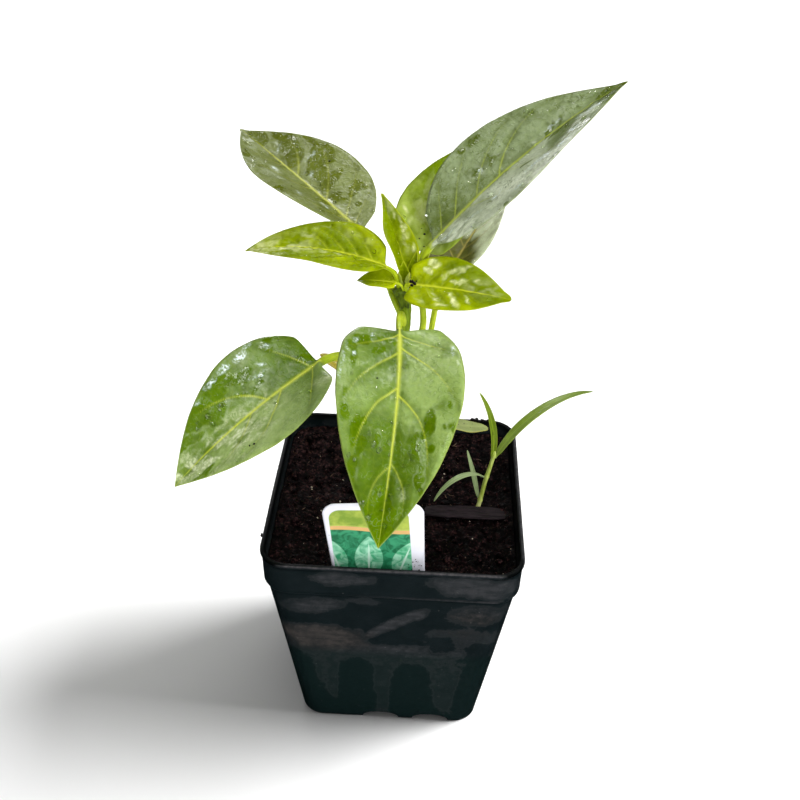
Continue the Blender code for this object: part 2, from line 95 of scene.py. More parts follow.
MESH_STEP = 0.45  # spacing of a leaf's points
FINE_STEP = 0.22  # the same on grass and on the leaflets of the crown
LANE_SPREAD = 1.2  # above 1 draws a blade's points towards its midrib
LEAF_THICKNESS = 0.34
OPENING = 0.07  # fraction of a blade's length over which it opens from its stalk
DROP_HEIGHT = 0.42  # as a share of the drop's radius
DROP_SINK = 0.05  # how deep the foot of a drop is under the surface
DROP_RADII = (0.12, 0.2, 1.1)  # the least that shows, the usual least, and how much larger one may be


class Stalk(NamedTuple):
    """The stalk of a leaf. It leaves the stem at node and ends at the base of the blade."""

    node: float  # height of the stalk's foot
    heading: float
    rise: float
    radius: float


class Blade(NamedTuple):
    """The blade of a leaf or of a grass. It starts at base, where its midrib has this heading and rise."""

    base: tuple
    length: float
    width: float
    heading: float
    rise: float
    turn: float  # change of heading from base to tip
    droop: float  # change of rise from base to tip
    roll: float = 0.0  # the left half, seen from the base, rises with a positive roll
    twist: float = 0.0  # change of roll from base to tip
    fold: float = 10.0  # how far each half rises from the midrib
    curl: float = 0.0  # how much more it rises at the edge
    widest: float = 0.37  # fraction of the length where the blade is widest
    taper: float = 1.0  # above 1 draws the tip out
    lobes: float = 0.0  # how far the shoulders reach back past the base, as a fraction of the length
    flat_base: float = OPENING  # how far from the base the fold has set in
    blunt: float = 0.0  # half width of the rounded tip, as if it went on growing back to the base


class Look(NamedTuple):
    """The surface of one blade. A place on it is (along, across), from 0 to 1 and from -1, right, to 1."""

    finish: str
    veins_left: tuple = (0.06, 0.16, 0.31, 0.48, 0.65, 0.8)  # where side veins leave the midrib
    veins_right: tuple = (0.05, 0.14, 0.29, 0.45, 0.62, 0.78)
    sweep: float = 1.0  # how far forward the side veins lean
    vein: float = 0.75  # how clear the side veins are
    puff: float = 0.14  # bulge between the side veins
    cells: float = 0.05  # bulge of the small cells between the finest veins
    cell_size: float = 2.6
    swell: float = 0.45  # broad unevenness
    wave: float = 0.25  # waviness of the edge
    veil: tuple = (0.8, 0.8)  # how strong the painted sheen of the waxy veil is on the left and the right half
    silver: tuple = (0.0, 0.0)  # how much painted silvery sheen the left and the right half have
    film: float = -0.2  # above 0 covers more of the blade with a film of water
    ripples: float = 0.4  # how strong the small ripples are, in relief and in painted shade and sheen along them
    pools: tuple = ()  # (along, across, half length, half width, lean) of places washed clean by water
    dulls: tuple = ()  # (along, across, radius, amount) of places with more of the painted sheen, or less; less also paints shade
    glows: tuple = ()  # (along, across, radius, amount) of places with more painted silvery sheen, or less; less paints shade
    gleams: tuple = ()  # (along, across, half length, half width, lean) of painted glints, pale patches with crisp edges
    drops: int = 30
    specks: tuple = ()  # (along, across, radius) of dark specks of compost
    ribs: int = 0  # veins that run side by side along the blade


LEAVES = {}
LEAVES["leaf_upper_left"] = (
    Stalk(node=158, heading=148, rise=49, radius=1.1),
    Blade(
        base=(-14.5, 18, 179.5), length=71.6, width=41, heading=136, rise=16, turn=-4, droop=-6, roll=6,
        twist=-13, fold=17, curl=5, widest=0.39, taper=1.12, blunt=7,
    ),
    Look(
        finish="grey", veins_left=(0.12, 0.37, 0.6), veins_right=(0.059, 0.125, 0.276, 0.5), swell=0.6,
        veil=(0.7, 0.72), ripples=0.9, film=-0.15, drops=70,
        pools=(
            (0.7, -0.52, 6, 3.6, 20), (0.62, -0.3, 5, 3, 50), (0.53, -0.68, 5, 4.2, 0),
            (0.51, -0.42, 6, 3, 60), (0.37, -0.4, 5, 2.5, 70), (0.45, -0.36, 4, 2.6, 40),
            (0.88, -0.35, 6, 2.5, 10), (0.16, -0.47, 1.1, 1.1, 0), (0.78, -0.72, 4, 1.6, 0),
            (0.61, -0.85, 9, 1.4, 0), (0.24, -0.52, 1, 0.8, 0),
        ),
        dulls=((0.3, -0.85, 9, 0.5), (0.2, 0.25, 6, -0.7), (0.4, 0.3, 6, -0.3), (0.1, -0.5, 6, 0.2)),
        glows=(
            (0.9, 0.55, 4, 0.5), (0.67, 0.8, 3, 0.3), (0.48, 0.6, 3, 0.3), (0.56, 0.37, 1.3, 0.9),
            (0.33, 0.5, 0.9, 0.9), (0.22, 0.2, 0.8, 1), (0.46, -0.23, 1, 0.7), (0.74, -0.3, 1.8, 0.5),
            (0.58, -0.5, 1.8, 0.45), (0.17, -0.75, 3, 0.25), (0.83, 0.3, 2.5, 0.3),
        ),
        gleams=(
            (0.57, 0.37, 1.2, 0.6, 0), (0.33, 0.5, 0.8, 0.4, 0), (0.46, -0.2, 0.9, 0.25, 60),
            (0.72, -0.25, 1.6, 0.25, 50), (0.56, -0.5, 1.6, 0.25, 70), (0.22, 0.2, 0.8, 0.3, 0),
        ),
        specks=((0.5, -0.62, 0.35), (0.27, -0.12, 0.25), (0.42, 0.5, 0.2)),
    ),
)
LEAVES["leaf_upper_right"] = (
    Stalk(node=147, heading=10, rise=20, radius=1.1),
    Blade(
        base=(8.4, 6.2, 181.6), length=81, width=42.5, heading=23, rise=46.5, turn=4, droop=-22.6, roll=6,
        twist=-10, fold=15, curl=2, widest=0.39, taper=1.16, blunt=9,
    ),
    Look(
        finish="silver", veins_left=(0.06, 0.134, 0.251, 0.368), veins_right=(0.2, 0.4), vein=0.75,
        swell=0.6, veil=(1, 1), silver=(0.02, 0.55), film=-0.35, ripples=1, drops=130,
        pools=(
            (0.635, 0.08, 3.4, 1, 25), (0.41, 0.84, 1.8, 0.9, 0), (0.9, 0.06, 4, 1.6, 0),
            (0.32, 0.37, 1.6, 0.8, 60), (0.34, 0.9, 1.2, 0.8, 0), (0.97, 0.1, 7, 3.5, 0),
            (0.7, 0.16, 1.8, 0.4, 60), (0.4, 0.35, 1.5, 0.4, 70), (0.72, -0.85, 2.5, 0.7, 0),
            (0.47, -0.3, 2, 0.6, 30), (0.66, -0.12, 3, 0.5, 0), (0.54, -0.9, 2, 0.8, 0),
            (0.78, -0.2, 2, 0.5, 10),
        ),
        dulls=((0.1, 0.5, 7, -0.4), (0.1, 0.1, 4, -0.5), (0.97, -0.4, 5, -2)),
        glows=(
            (0.79, -0.55, 2.2, 0.4), (0.5, -0.57, 2.2, 0.4), (0.435, -0.63, 2, 0.4), (0.37, -0.67, 2, 0.3),
            (0.29, -0.4, 1.8, 0.4), (0.1, -0.37, 2, 0.4), (0.1, -0.9, 5, 1), (0.72, -0.6, 10, -0.4),
            (0.97, -0.4, 5, -1.5), (0.67, 0.27, 2.2, 0.18), (0.335, 0.33, 0.9, 0.5), (0.55, 0.07, 1, 0.6),
            (0.31, 0.3, 0.7, 0.5),
        ),
        gleams=(
            (0.82, -0.5, 3.4, 0.9, 0), (0.75, -0.3, 1.8, 0.4, 20), (0.69, -0.6, 1.8, 0.6, 0),
            (0.61, -0.75, 2, 0.8, 0), (0.53, -0.6, 2.4, 1.1, 20), (0.47, -0.55, 2.6, 1, 0),
            (0.38, -0.8, 1.3, 0.6, 30), (0.31, -0.45, 1.2, 0.4, 0), (0.2, -0.5, 2, 0.5, 20),
            (0.08, -0.45, 2.6, 0.6, 0), (0.66, 0.14, 1.5, 0.2, 0), (0.34, 0.34, 0.8, 0.5, 60),
        ),
    ),
)
LEAVES["leaf_lower_left"] = (
    Stalk(node=135, heading=200, rise=24, radius=1.4),
    Blade(
        base=(-26, -8.5, 145.2), length=63, width=40.5, heading=216, rise=-19, turn=-10, droop=-26,
        roll=-11, twist=-20, fold=17, curl=6, widest=0.33, taper=1.1, lobes=0.05,
    ),
    Look(
        finish="mature", veins_left=(0.05, 0.251, 0.45), veins_right=(0.05, 0.334), vein=1, puff=0.2,
        veil=(0.9, 0.25), silver=(0.06, 0), film=-0.5, ripples=0.35, drops=70,
        pools=(
            (0.18, -0.93, 2.2, 1.4, -30), (0.19, -0.73, 0.8, 0.6, 0), (0.44, -0.68, 7, 2.2, 25),
            (0.36, -0.6, 2.5, 1.2, -20), (0.29, -0.37, 1.5, 0.6, 0), (0.335, -0.27, 2.2, 0.8, 0),
            (0.42, -0.37, 1.8, 0.5, 30), (0.6, -0.62, 6.4, 4.2, 20), (0.53, -0.72, 4, 2.6, 0),
            (0.68, -0.82, 8, 2.8, 0), (0.76, -0.6, 3.2, 1.3, 20), (0.81, -0.77, 2.6, 0.8, 10),
            (0.61, -0.35, 2, 0.8, 40), (0.81, 0.72, 4.5, 1, 0), (0.02, -0.7, 5, 1.6, 0),
        ),
        dulls=((0.05, -0.3, 5, -0.6), (0.1, 0.4, 6, -0.2), (0.55, 0.35, 10, 0.3), (0.94, -0.4, 4, 0.5)),
        glows=(
            (0.32, -0.83, 2, 0.25), (0.93, -0.6, 3, 0.8), (0.55, 0.24, 6.5, 0.65), (0.8, 0.18, 5, 0.55),
            (0.35, 0.22, 4, 0.3), (0.33, -0.1, 1, 0.3), (0.07, 0.8, 1.6, 0.6), (0.75, 0.4, 3, 0.3),
        ),
        gleams=(
            (0.32, -0.84, 2.2, 1.2, 0), (0.42, -0.86, 1.8, 0.9, 0), (0.51, -0.88, 2.2, 0.6, 0),
            (0.61, -0.9, 1.2, 0.35, 0), (0.19, -0.8, 0.9, 0.5, 0), (0.3, -0.42, 2, 0.3, 10),
            (0.26, -0.55, 1, 0.25, 40), (0.27, -0.95, 1.2, 0.5, 0),
        ),
        specks=((0.56, 0.72, 0.35), (0.58, 0.7, 0.3)),
    ),
)
LEAVES["leaf_front"] = (
    Stalk(node=156, heading=-105, rise=68, radius=1),
    Blade(
        base=(-0.2, -19.8, 165.2), length=69.8, width=40, heading=-85, rise=-14.5, turn=-18, droop=-49,
        roll=-3.5, twist=-10, fold=17, curl=6, widest=0.33, taper=1.05, lobes=0.09, flat_base=0.28,
    ),
    Look(
        finish="mature", veins_left=(0.033, 0.109, 0.343, 0.64), veins_right=(0.033, 0.134, 0.309, 0.652),
        vein=1.15, puff=0.45, cells=0.08, swell=0.4, veil=(1.1, 0.72), film=-0.6, ripples=0.5, drops=90,
        pools=(
            (0.477, -0.9, 2.2, 1.2, 0), (0.535, -0.72, 4.5, 1.3, 5), (0.6, -0.66, 3.2, 1.3, 0),
            (0.5, -0.55, 1.6, 1, 60), (0.7, -0.92, 3, 1.2, 0), (0.552, -0.3, 1.7, 1, 0),
            (0.47, 0.55, 3.2, 1.3, 5), (0.51, 0.5, 1.8, 0.9, 0), (0.57, 0.7, 1, 0.9, 0),
            (0.56, 0.42, 3.8, 1, 12), (0.4, 0.83, 0.8, 0.6, 0), (0.49, 0.83, 0.7, 0.5, 0),
            (0.49, 0.95, 1.3, 0.6, 0), (0.66, 0.7, 0.9, 0.7, 0), (0.71, 0.8, 2, 0.8, 0),
            (0.39, -0.83, 1.1, 0.6, 0), (0.24, -0.78, 3.5, 0.9, 5), (0.18, -0.88, 1.8, 1, 0),
            (0.12, -0.7, 3.2, 1, 70), (0.86, -0.2, 8, 4.2, 0), (0.96, 0, 5, 4, 0),
            (0.08, -0.25, 2.6, 1.3, 80), (0.16, -0.4, 2.6, 1, 60),
        ),
        dulls=(
            (0.04, 0, 5, -0.9), (0.14, -0.3, 5, -0.75), (0.72, -0.2, 11, -0.8), (0.8, 0.3, 8, -0.9),
            (0.62, 0.1, 6, -0.4), (0.6, 0.3, 5, -0.35), (0.56, -0.3, 5, -0.3), (0.3, -0.05, 4, -0.3),
            (0.66, -0.93, 4, 0.5), (0.4, -0.9, 4, 0.3), (0.74, 0.68, 4, 0.5), (0.2, 0.7, 7, 0.4),
            (0.05, 0.5, 5, 0.4), (0.2, 0.12, 3, -0.5), (0.36, 0.45, 7, 0.4), (0.66, -0.45, 7, -0.4),
        ),
        glows=((0.2, 0.65, 5, 0.12), (0.36, -0.9, 2, 0.2), (0.76, 0.5, 1, 0.3)),
        gleams=(
            (0.2, -0.9, 1.2, 0.3, 0), (0.27, -0.93, 1.5, 0.35, 0), (0.33, -0.95, 1.5, 0.3, 0),
            (0.14, -0.82, 1, 0.35, 30), (0.09, -0.6, 0.9, 0.3, 0), (0.23, -0.75, 0.8, 0.3, 40),
            (0.18, 0.9, 1, 0.25, 0),
        ),
        specks=((0.33, -0.34, 0.3),),
    ),
)
LEAVES["leaf_middle_left"] = (
    Stalk(node=167.5, heading=170, rise=22, radius=0.65),
    Blade(
        base=(-5.1, -3, 177.9), length=48.5, width=26, heading=164, rise=13.5, turn=8, droop=-30, roll=-9,
        twist=2, fold=15, curl=2, widest=0.36, taper=1.02,
    ),
    Look(
        finish="young", veins_left=(0.14, 0.25, 0.368, 0.5, 0.66),
        veins_right=(0.1, 0.201, 0.293, 0.401, 0.6), sweep=0.9, vein=0.6, puff=0.8, cells=0.3,
        cell_size=2.4, swell=0.6, veil=(0.55, 0.55), film=-0.2, ripples=0.6, drops=26,
        dulls=(
            (0.33, -0.3, 3, -0.6), (0.23, -0.12, 3, -0.5), (0.42, -0.43, 2, -0.4), (0.64, -0.43, 3, -0.4),
            (0.5, 0.6, 3, -0.3), (0.3, -0.75, 4, 0.3), (0.15, -0.5, 4, 0.3),
        ),
        glows=(
            (0.75, 0.3, 3.5, 0.5), (0.92, 0, 4, 0.5), (0.62, 0.15, 3, 0.35), (0.6, -0.47, 1.6, 0.3),
            (0.3, -0.6, 1.2, 0.15), (0.18, -0.57, 1.2, 0.15), (0.4, -0.73, 1, 0.15),
        ),
        gleams=((0.55, 0.15, 4.5, 0.35, 0), (0.75, 0.3, 4, 0.5, 0), (0.38, 0.18, 2, 0.3, 0)),
    ),
)
LEAVES["leaf_small_left"] = (
    Stalk(node=166.5, heading=238, rise=50, radius=0.45),
    Blade(
        base=(-2.2, -3.4, 172.8), length=12.8, width=10.8, heading=174, rise=4, turn=0, droop=-12,
        roll=-12, fold=18, widest=0.3, taper=0.95, lobes=0.08,
    ),
    Look(finish="young", puff=0.2, cells=0.06, swell=0.15, wave=0.2, film=-0.7, veil=(1.1, 0.9), drops=3),
)
LEAVES["leaf_upright"] = (
    Stalk(node=169, heading=110, rise=60, radius=0.6),
    Blade(
        base=(1, 3.4, 172.4), length=27.5, width=12.4, heading=132, rise=62, turn=-10, droop=-14, roll=-6,
        twist=-6, fold=39, curl=-2, widest=0.3, blunt=3.5,
    ),
    Look(
        finish="young", vein=0.3, puff=0.45, cells=0.3, cell_size=2.2, swell=0.3, wave=0.5,
        veil=(0.3, 0.8), drops=14, dulls=((0.75, 0.5, 4, -0.8),),
        glows=((0.8, -0.4, 1.6, 0.25), (0.4, -0.63, 1.3, 0.25), (0.3, -0.5, 1.2, 0.2)),
        gleams=(
            (0.61, -0.7, 1.3, 0.5, 0), (0.53, -0.72, 1, 0.4, 40), (0.42, -0.6, 1, 0.6, 0),
            (0.27, -0.75, 1.2, 0.4, 0), (0.33, -0.45, 0.7, 0.4, 0), (0.7, -0.5, 0.8, 0.3, 0),
        ),
    ),
)
LEAVES["leaf_pale_back"] = (
    Stalk(node=161, heading=80, rise=52, radius=1.05),
    Blade(
        base=(6, 13, 176), length=45.6, width=29.2, heading=68, rise=41, turn=0.6, droop=-14, roll=-2.6,
        twist=-8, fold=13, curl=-2, widest=0.36, taper=1.11, lobes=0.09,
    ),
    Look(
        finish="pale", puff=0.4, cells=0.2, cell_size=3.2, veil=(0.75, 0.82), ripples=0.7, drops=30,
        dulls=((0.1, 0.3, 6, 0.6), (0.1, -0.4, 6, 0.4), (0.85, 0, 11, -1.5)),
        glows=((0.06, -0.6, 4, 0.25), (0.3, 0.22, 4, 0.3), (0.5, 0.25, 4, 0.25)),
        gleams=((0.3, 0.75, 1.2, 0.4, 40), (0.22, 0.6, 1, 0.3, 0)),
        specks=((0.16, 0.16, 0.45), (0.12, 0.3, 0.3), (0.2, 0.28, 0.2), (0.05, 0.1, 0.3)),
    ),
)
LEAVES["leaf_olive_back"] = (
    Stalk(node=130, heading=30, rise=33, radius=1),
    Blade(
        base=(14.2, 21.4, 163.2), length=45.4, width=26.5, heading=63, rise=25, turn=-2, droop=-3, roll=-8,
        twist=-8, fold=17, curl=7, lobes=0.05,
    ),
    Look(
        finish="olive", puff=0.2, veil=(0.95, 1), silver=(1, 1.1), film=-0.7, ripples=0.3, drops=25,
        # Less sheen near the base, here and in the glows, paints the shadow cast by the upper right leaf.
        dulls=((0.18, 0.4, 8, -2), (0.05, -0.2, 4, -1.4), (0.65, 0.3, 8, 0.3)),
        glows=((0.18, 0.4, 7, -2.4), (0.05, -0.2, 4, -1.8), (0.6, -0.8, 4, 0.4), (0.65, 0.4, 8, 0.4)),
    ),
)
LEAVES["leaf_front_right"] = (
    Stalk(node=167, heading=-60, rise=50, radius=0.8),
    Blade(
        base=(2.4, -4.2, 172.8), length=32.5, width=21.5, heading=-13.5, rise=5, turn=4, droop=-11.5,
        roll=27.5, twist=1, fold=15, curl=1, widest=0.34, lobes=0.11, blunt=8,
    ),
    Look(
        finish="young", veins_left=(0.06, 0.151, 0.293, 0.443, 0.62),
        veins_right=(0.07, 0.201, 0.393, 0.55, 0.72), sweep=0.9, vein=0.3, puff=0.6, cells=0.2,
        cell_size=3, swell=0.4, veil=(0.85, 0.95), film=-0.5, drops=24,
        dulls=(
            (0.75, -0.2, 4, -0.8), (0.6, 0.8, 4, -0.7), (0.26, 0.27, 1.5, -0.5), (0.37, 0.7, 1.5, -0.5),
            (0.48, 0.57, 1.5, -0.5), (0.9, -0.4, 4, -0.4), (0.33, -0.35, 1.2, -0.4),
            (0.5, -0.35, 1.2, -0.4),
        ),
        glows=((0.7, 0.22, 2, 0.2), (0.85, 0.4, 2.2, 0.2), (0.58, 0.25, 1.5, 0.2)),
        gleams=(
            (0.235, 0.72, 1.3, 1.1, 0), (0.19, 0.5, 1, 0.8, 0), (0.32, 0.33, 1, 0.7, 50),
            (0.39, 0.55, 1.9, 0.6, 25), (0.5, 0.7, 1.8, 0.4, 40), (0.43, 0.23, 1, 0.7, 0),
            (0.5, 0.28, 1.3, 0.9, 0), (0.625, 0.43, 1, 0.5, 20), (0.25, -0.33, 0.9, 0.35, 50),
            (0.31, -0.6, 1.4, 0.5, 60), (0.42, -0.3, 1, 0.35, 60), (0.49, -0.6, 2.2, 0.65, 60),
            (0.59, -0.42, 1.5, 0.35, 60), (0.385, -0.78, 1.1, 0.7, 0), (0.18, -0.8, 0.7, 0.35, 20),
        ),
        specks=((0.04, 0.5, 0.7), (0.05, -0.3, 0.6), (0.06, 0.1, 0.7), (0.09, 0.2, 0.25)),
    ),
)
LEAVES["cotyledon_left"] = (
    Stalk(node=114, heading=140, rise=35, radius=0.6),
    Blade(
        base=(-13.8, 12, 123.6), length=21, width=7, heading=140, rise=20.5, turn=7, droop=-15, fold=9,
        curl=2, widest=0.45, taper=0.6,
    ),
    Look(
        finish="fading", veins_left=(0.2, 0.5), veins_right=(0.25, 0.55), puff=0.1, cells=0.04, swell=0.2,
        wave=0.2, film=-0.9, ripples=0, drops=0,
    ),
)
LEAVES["cotyledon_right"] = (
    Stalk(node=112, heading=40, rise=0, radius=0.6),
    Blade(
        base=(16.5, 13, 107.3), length=18.5, width=8, heading=22, rise=-15.5, turn=0, droop=-3, roll=3,
        fold=6, curl=-4, widest=0.44, taper=0.6,
    ),
    Look(
        finish="seed_leaf", veins_left=(0.2, 0.5), veins_right=(0.25, 0.55), puff=0.1, cells=0.04,
        swell=0.2, wave=0.2, film=-0.9, ripples=0, drops=3,
        specks=((0.5, 0.3, 0.2), (0.6, -0.2, 0.15), (0.35, 0.1, 0.15), (0.7, 0.4, 0.15)),
    ),
)

GRASS_FOOT = Vector((30.3, 1.2, SOIL_LEVEL))
GRASS_NODE = Vector((34.4, 1.8, 102.9))
GRASS_ROOT_END = GRASS_FOOT + Vector((-2.0, 0.0, -8.0))
GRASS_KNEES = (GRASS_FOOT.z + 3.2, 93.2, GRASS_NODE.z)
GRASS_RADIUS = 0.8
GRASS_BASE_RADIUS = 0.35
GRASS_WIDEST = 0.38
GRASS_TAPER = 0.58
GRASS_BLADES = {
    "grass_blade_right": Blade(
        base=(34.9, 2.0, 101.6), length=47.0, width=4.4, heading=33, rise=57.5, turn=-5, droop=-70,
        fold=8, widest=GRASS_WIDEST, taper=GRASS_TAPER,
    ),
    "grass_blade_up": Blade(
        base=(33.7, 2.2, 101.4), length=26.7, width=3.4, heading=128, rise=98, turn=16, droop=-52,
        fold=16, widest=GRASS_WIDEST, taper=GRASS_TAPER,
    ),
    "grass_blade_drooping": Blade(
        base=(31.3, 0.8, 93.6), length=25, width=2.6, heading=212, rise=45, turn=5, droop=-104,
        fold=6, widest=GRASS_WIDEST, taper=GRASS_TAPER,
    ),
    "grass_blade_pale": Blade(
        base=(30.1, 2.6, 82.4), length=19.5, width=2.5, heading=138, rise=72.5, turn=0, droop=-7,
        fold=6, widest=GRASS_WIDEST, taper=GRASS_TAPER,
    ),
}
GRASS_LOOKS = {
    name: Look(
        finish=finish, veins_left=(), veins_right=(), puff=0.0, cells=0.0, swell=0.08, wave=0.05,
        film=-0.6, drops=2, ribs=6,
    )
    for name, finish in (
        ("grass_blade_right", "grass"), ("grass_blade_up", "grass_bright"),
        ("grass_blade_drooping", "grass_pale"), ("grass_blade_pale", "grass_pale"),
    )
}

BARK_LENGTH = 31.0
BARK_WIDTH = 7.0
BARK_PLACE = (26.0, -4.6)
# Its width, as a share of the widest, at fractions of its length.
BARK_OUTLINE = ((0.0, 0.35), (0.02, 0.72), (0.2, 0.92), (0.5, 1.0), (0.8, 0.96), (0.96, 0.72), (1.0, 0.3))


# Fields and small numeric helpers -------------------------------------------------------------


def smooth(low, high, value):
    """0 below low, 1 above high, and an S curve between them."""
    t = np.clip((value - low) / (high - low), 0.0, 1.0)
    return t * t * (3.0 - 2.0 * t)


def bell(value, width):
    """1 where value is 0, falling off on both sides over that width."""
    return np.exp(-((value / width) ** 2))


def turned(dx, dy, degrees):
    """The parts of an offset along a way turned by some degrees, and across it."""
    turn = math.radians(degrees)
    return dx * math.cos(turn) + dy * math.sin(turn), dy * math.cos(turn) - dx * math.sin(turn)


def level_points(x, y, z=0.0):
    return np.stack([x, y, np.full_like(x, z)], axis=-1)


def scramble(cells, seed):
    """A repeatable number from 0 to 1 for each whole-number cell, an (..., 3) array."""
    cells = cells.astype(np.uint64)
    mixed = (
        cells[..., 0] * np.uint64(73856093)
        ^ cells[..., 1] * np.uint64(19349663)
        ^ cells[..., 2] * np.uint64(83492791)
        ^ np.uint64(seed * 2654435761 % (1 << 32))
    )
    mixed = (mixed ^ (mixed >> np.uint64(13))) * np.uint64(1274126177)
    mixed = mixed ^ (mixed >> np.uint64(16))
    return (mixed & np.uint64(0xFFFFF)).astype(float) / 0xFFFFF


def unevenness(points, size, seed, octaves=1):
    """Smooth noise from about -1 to 1 at points, an (..., 3) array, with bumps of that size."""
    total, strength, reach = 0.0, 1.0, 0.0
    for octave in range(octaves):
        place = points / (size / 2**octave) + 1000.0 + 37.0 * octave
        cell = np.floor(place)
        part = place - cell
        part = part * part * (3.0 - 2.0 * part)
        value = 0.0
        for corner in np.ndindex(2, 2, 2):
            weight = np.prod(np.where(np.array(corner), part, 1.0 - part), axis=-1)
            value = value + weight * scramble(cell + np.array(corner), seed + octave)
        total = total + strength * (2.0 * value - 1.0)
        reach += strength
        strength *= 0.5
    return total / reach


def cell_borders(x, y, size, seed):
    """Distance from each place to the nearest border of a mosaic of cells of that size."""
    place = level_points(x / size + 500.0, y / size + 500.0)
    home = np.floor(place)
    nearest = np.full(x.shape, 9.0)
    second = nearest
    for step in np.ndindex(3, 3):
        cell = home + np.array((*step, 1)) - 1
        spot = cell[..., :2] + np.stack([scramble(cell, seed), scramble(cell, seed + 1)], axis=-1)
        away = np.linalg.norm(place[..., :2] - spot, axis=-1)
        second = np.minimum(second, np.maximum(away, nearest))
        nearest = np.minimum(nearest, away)
    return (second - nearest) * size / 2


def ways(heading, rise):
    """Unit vectors for arrays of headings and rises."""
    heading, rise = np.radians(heading), np.radians(rise)
    level = np.cos(rise)
    return np.stack([level * np.cos(heading), level * np.sin(heading), np.sin(rise)], axis=-1)


def unit(vectors):
    return vectors / np.linalg.norm(vectors, axis=-1, keepdims=True)


# Meshes ---------------------------------------------------------------------------------------


def new_object(name, points, faces, materials, face_slots=None, fields=None):
    """A mesh object from points in millimetres. fields are named values at the points, for materials."""
    mesh = bpy.data.meshes.new(name)
    mesh.from_pydata((np.asarray(points) * MM).tolist(), [], [list(f) for f in faces])
    for material in materials:
        mesh.materials.append(material)
    if face_slots is not None:
        mesh.polygons.foreach_set("material_index", np.asarray(face_slots, dtype=np.int32))
    for field, values in (fields or {}).items():
        layer = mesh.attributes.new(field, "FLOAT", "POINT")
        layer.data.foreach_set("value", np.ascontiguousarray(values, dtype=np.float32).ravel())
    bm = bmesh.new()
    bm.from_mesh(mesh)
    bmesh.ops.recalc_face_normals(bm, faces=bm.faces[:])
    bm.to_mesh(mesh)
    bm.free()
    mesh.shade_smooth()
    obj = bpy.data.objects.new(name, mesh)
    bpy.context.scene.collection.objects.link(obj)
    return obj


def place_piece(obj, slot, *nodes):
    """Hands a finished piece to the frame: it rides on the one body and stands for its CAD nodes."""
    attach(obj, "root")
    if nodes:
        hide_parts(*nodes)


def ring_faces(rings, around, first=0):
    """Quads of a skin of rings, each with as many points around."""
    faces = []
    for low in range(first, first + (rings - 1) * around, around):
        for i in range(around):
            j = (i + 1) % around
            faces.append((low + i, low + j, low + around + j, low + around + i))
    return faces


def fan(ring, around, middle):
    """Triangles that close a ring with a middle point."""
    return [(ring + i, ring + (i + 1) % around, middle) for i in range(around)]


def skin(name, rings, materials, fields=None):
    """A closed skin through an array of rings (ring, point, xyz), its ends closed by a middle point."""
    count, around = rings.shape[:2]
    points = np.vstack([rings.reshape(-1, 3), rings[0].mean(axis=0), rings[-1].mean(axis=0)])
    last, total = (count - 1) * around, count * around
    faces = ring_faces(count, around) + fan(0, around, total) + fan(last, around, total + 1)
    full = {}
    for field, values in (fields or {}).items():
        ring = values.reshape(count, around)
        full[field] = np.concatenate([values.ravel(), [ring[0].mean(), ring[-1].mean()]])
    return new_object(name, points, faces, materials, fields=full)


def lump(points, faces, centre, radii, turn, seed, rough=0.25):
    """Adds one uneven lump to lists of points and faces."""
    bm = bmesh.new()
    bmesh.ops.create_icosphere(bm, subdivisions=2, radius=1.0)
    first = len(points)
    shape = np.array([v.co for v in bm.verts])
    shape = shape * (1.0 + rough * unevenness(shape + seed * 3.7, 0.8, 11)[..., None])
    shape = shape * np.array(radii) @ np.array(turn).T + np.array(centre)
    points.extend(shape.tolist())
    faces.extend([[first + v.index for v in face.verts] for face in bm.faces])
    bm.free()


def random_turn(rng):
    angle = rng.uniform(0, 2 * math.pi)
    return Matrix.Rotation(angle, 3, Vector((rng.random(), rng.random(), rng.random() + 0.1)))


# Materials ------------------------------------------------------------------------------------


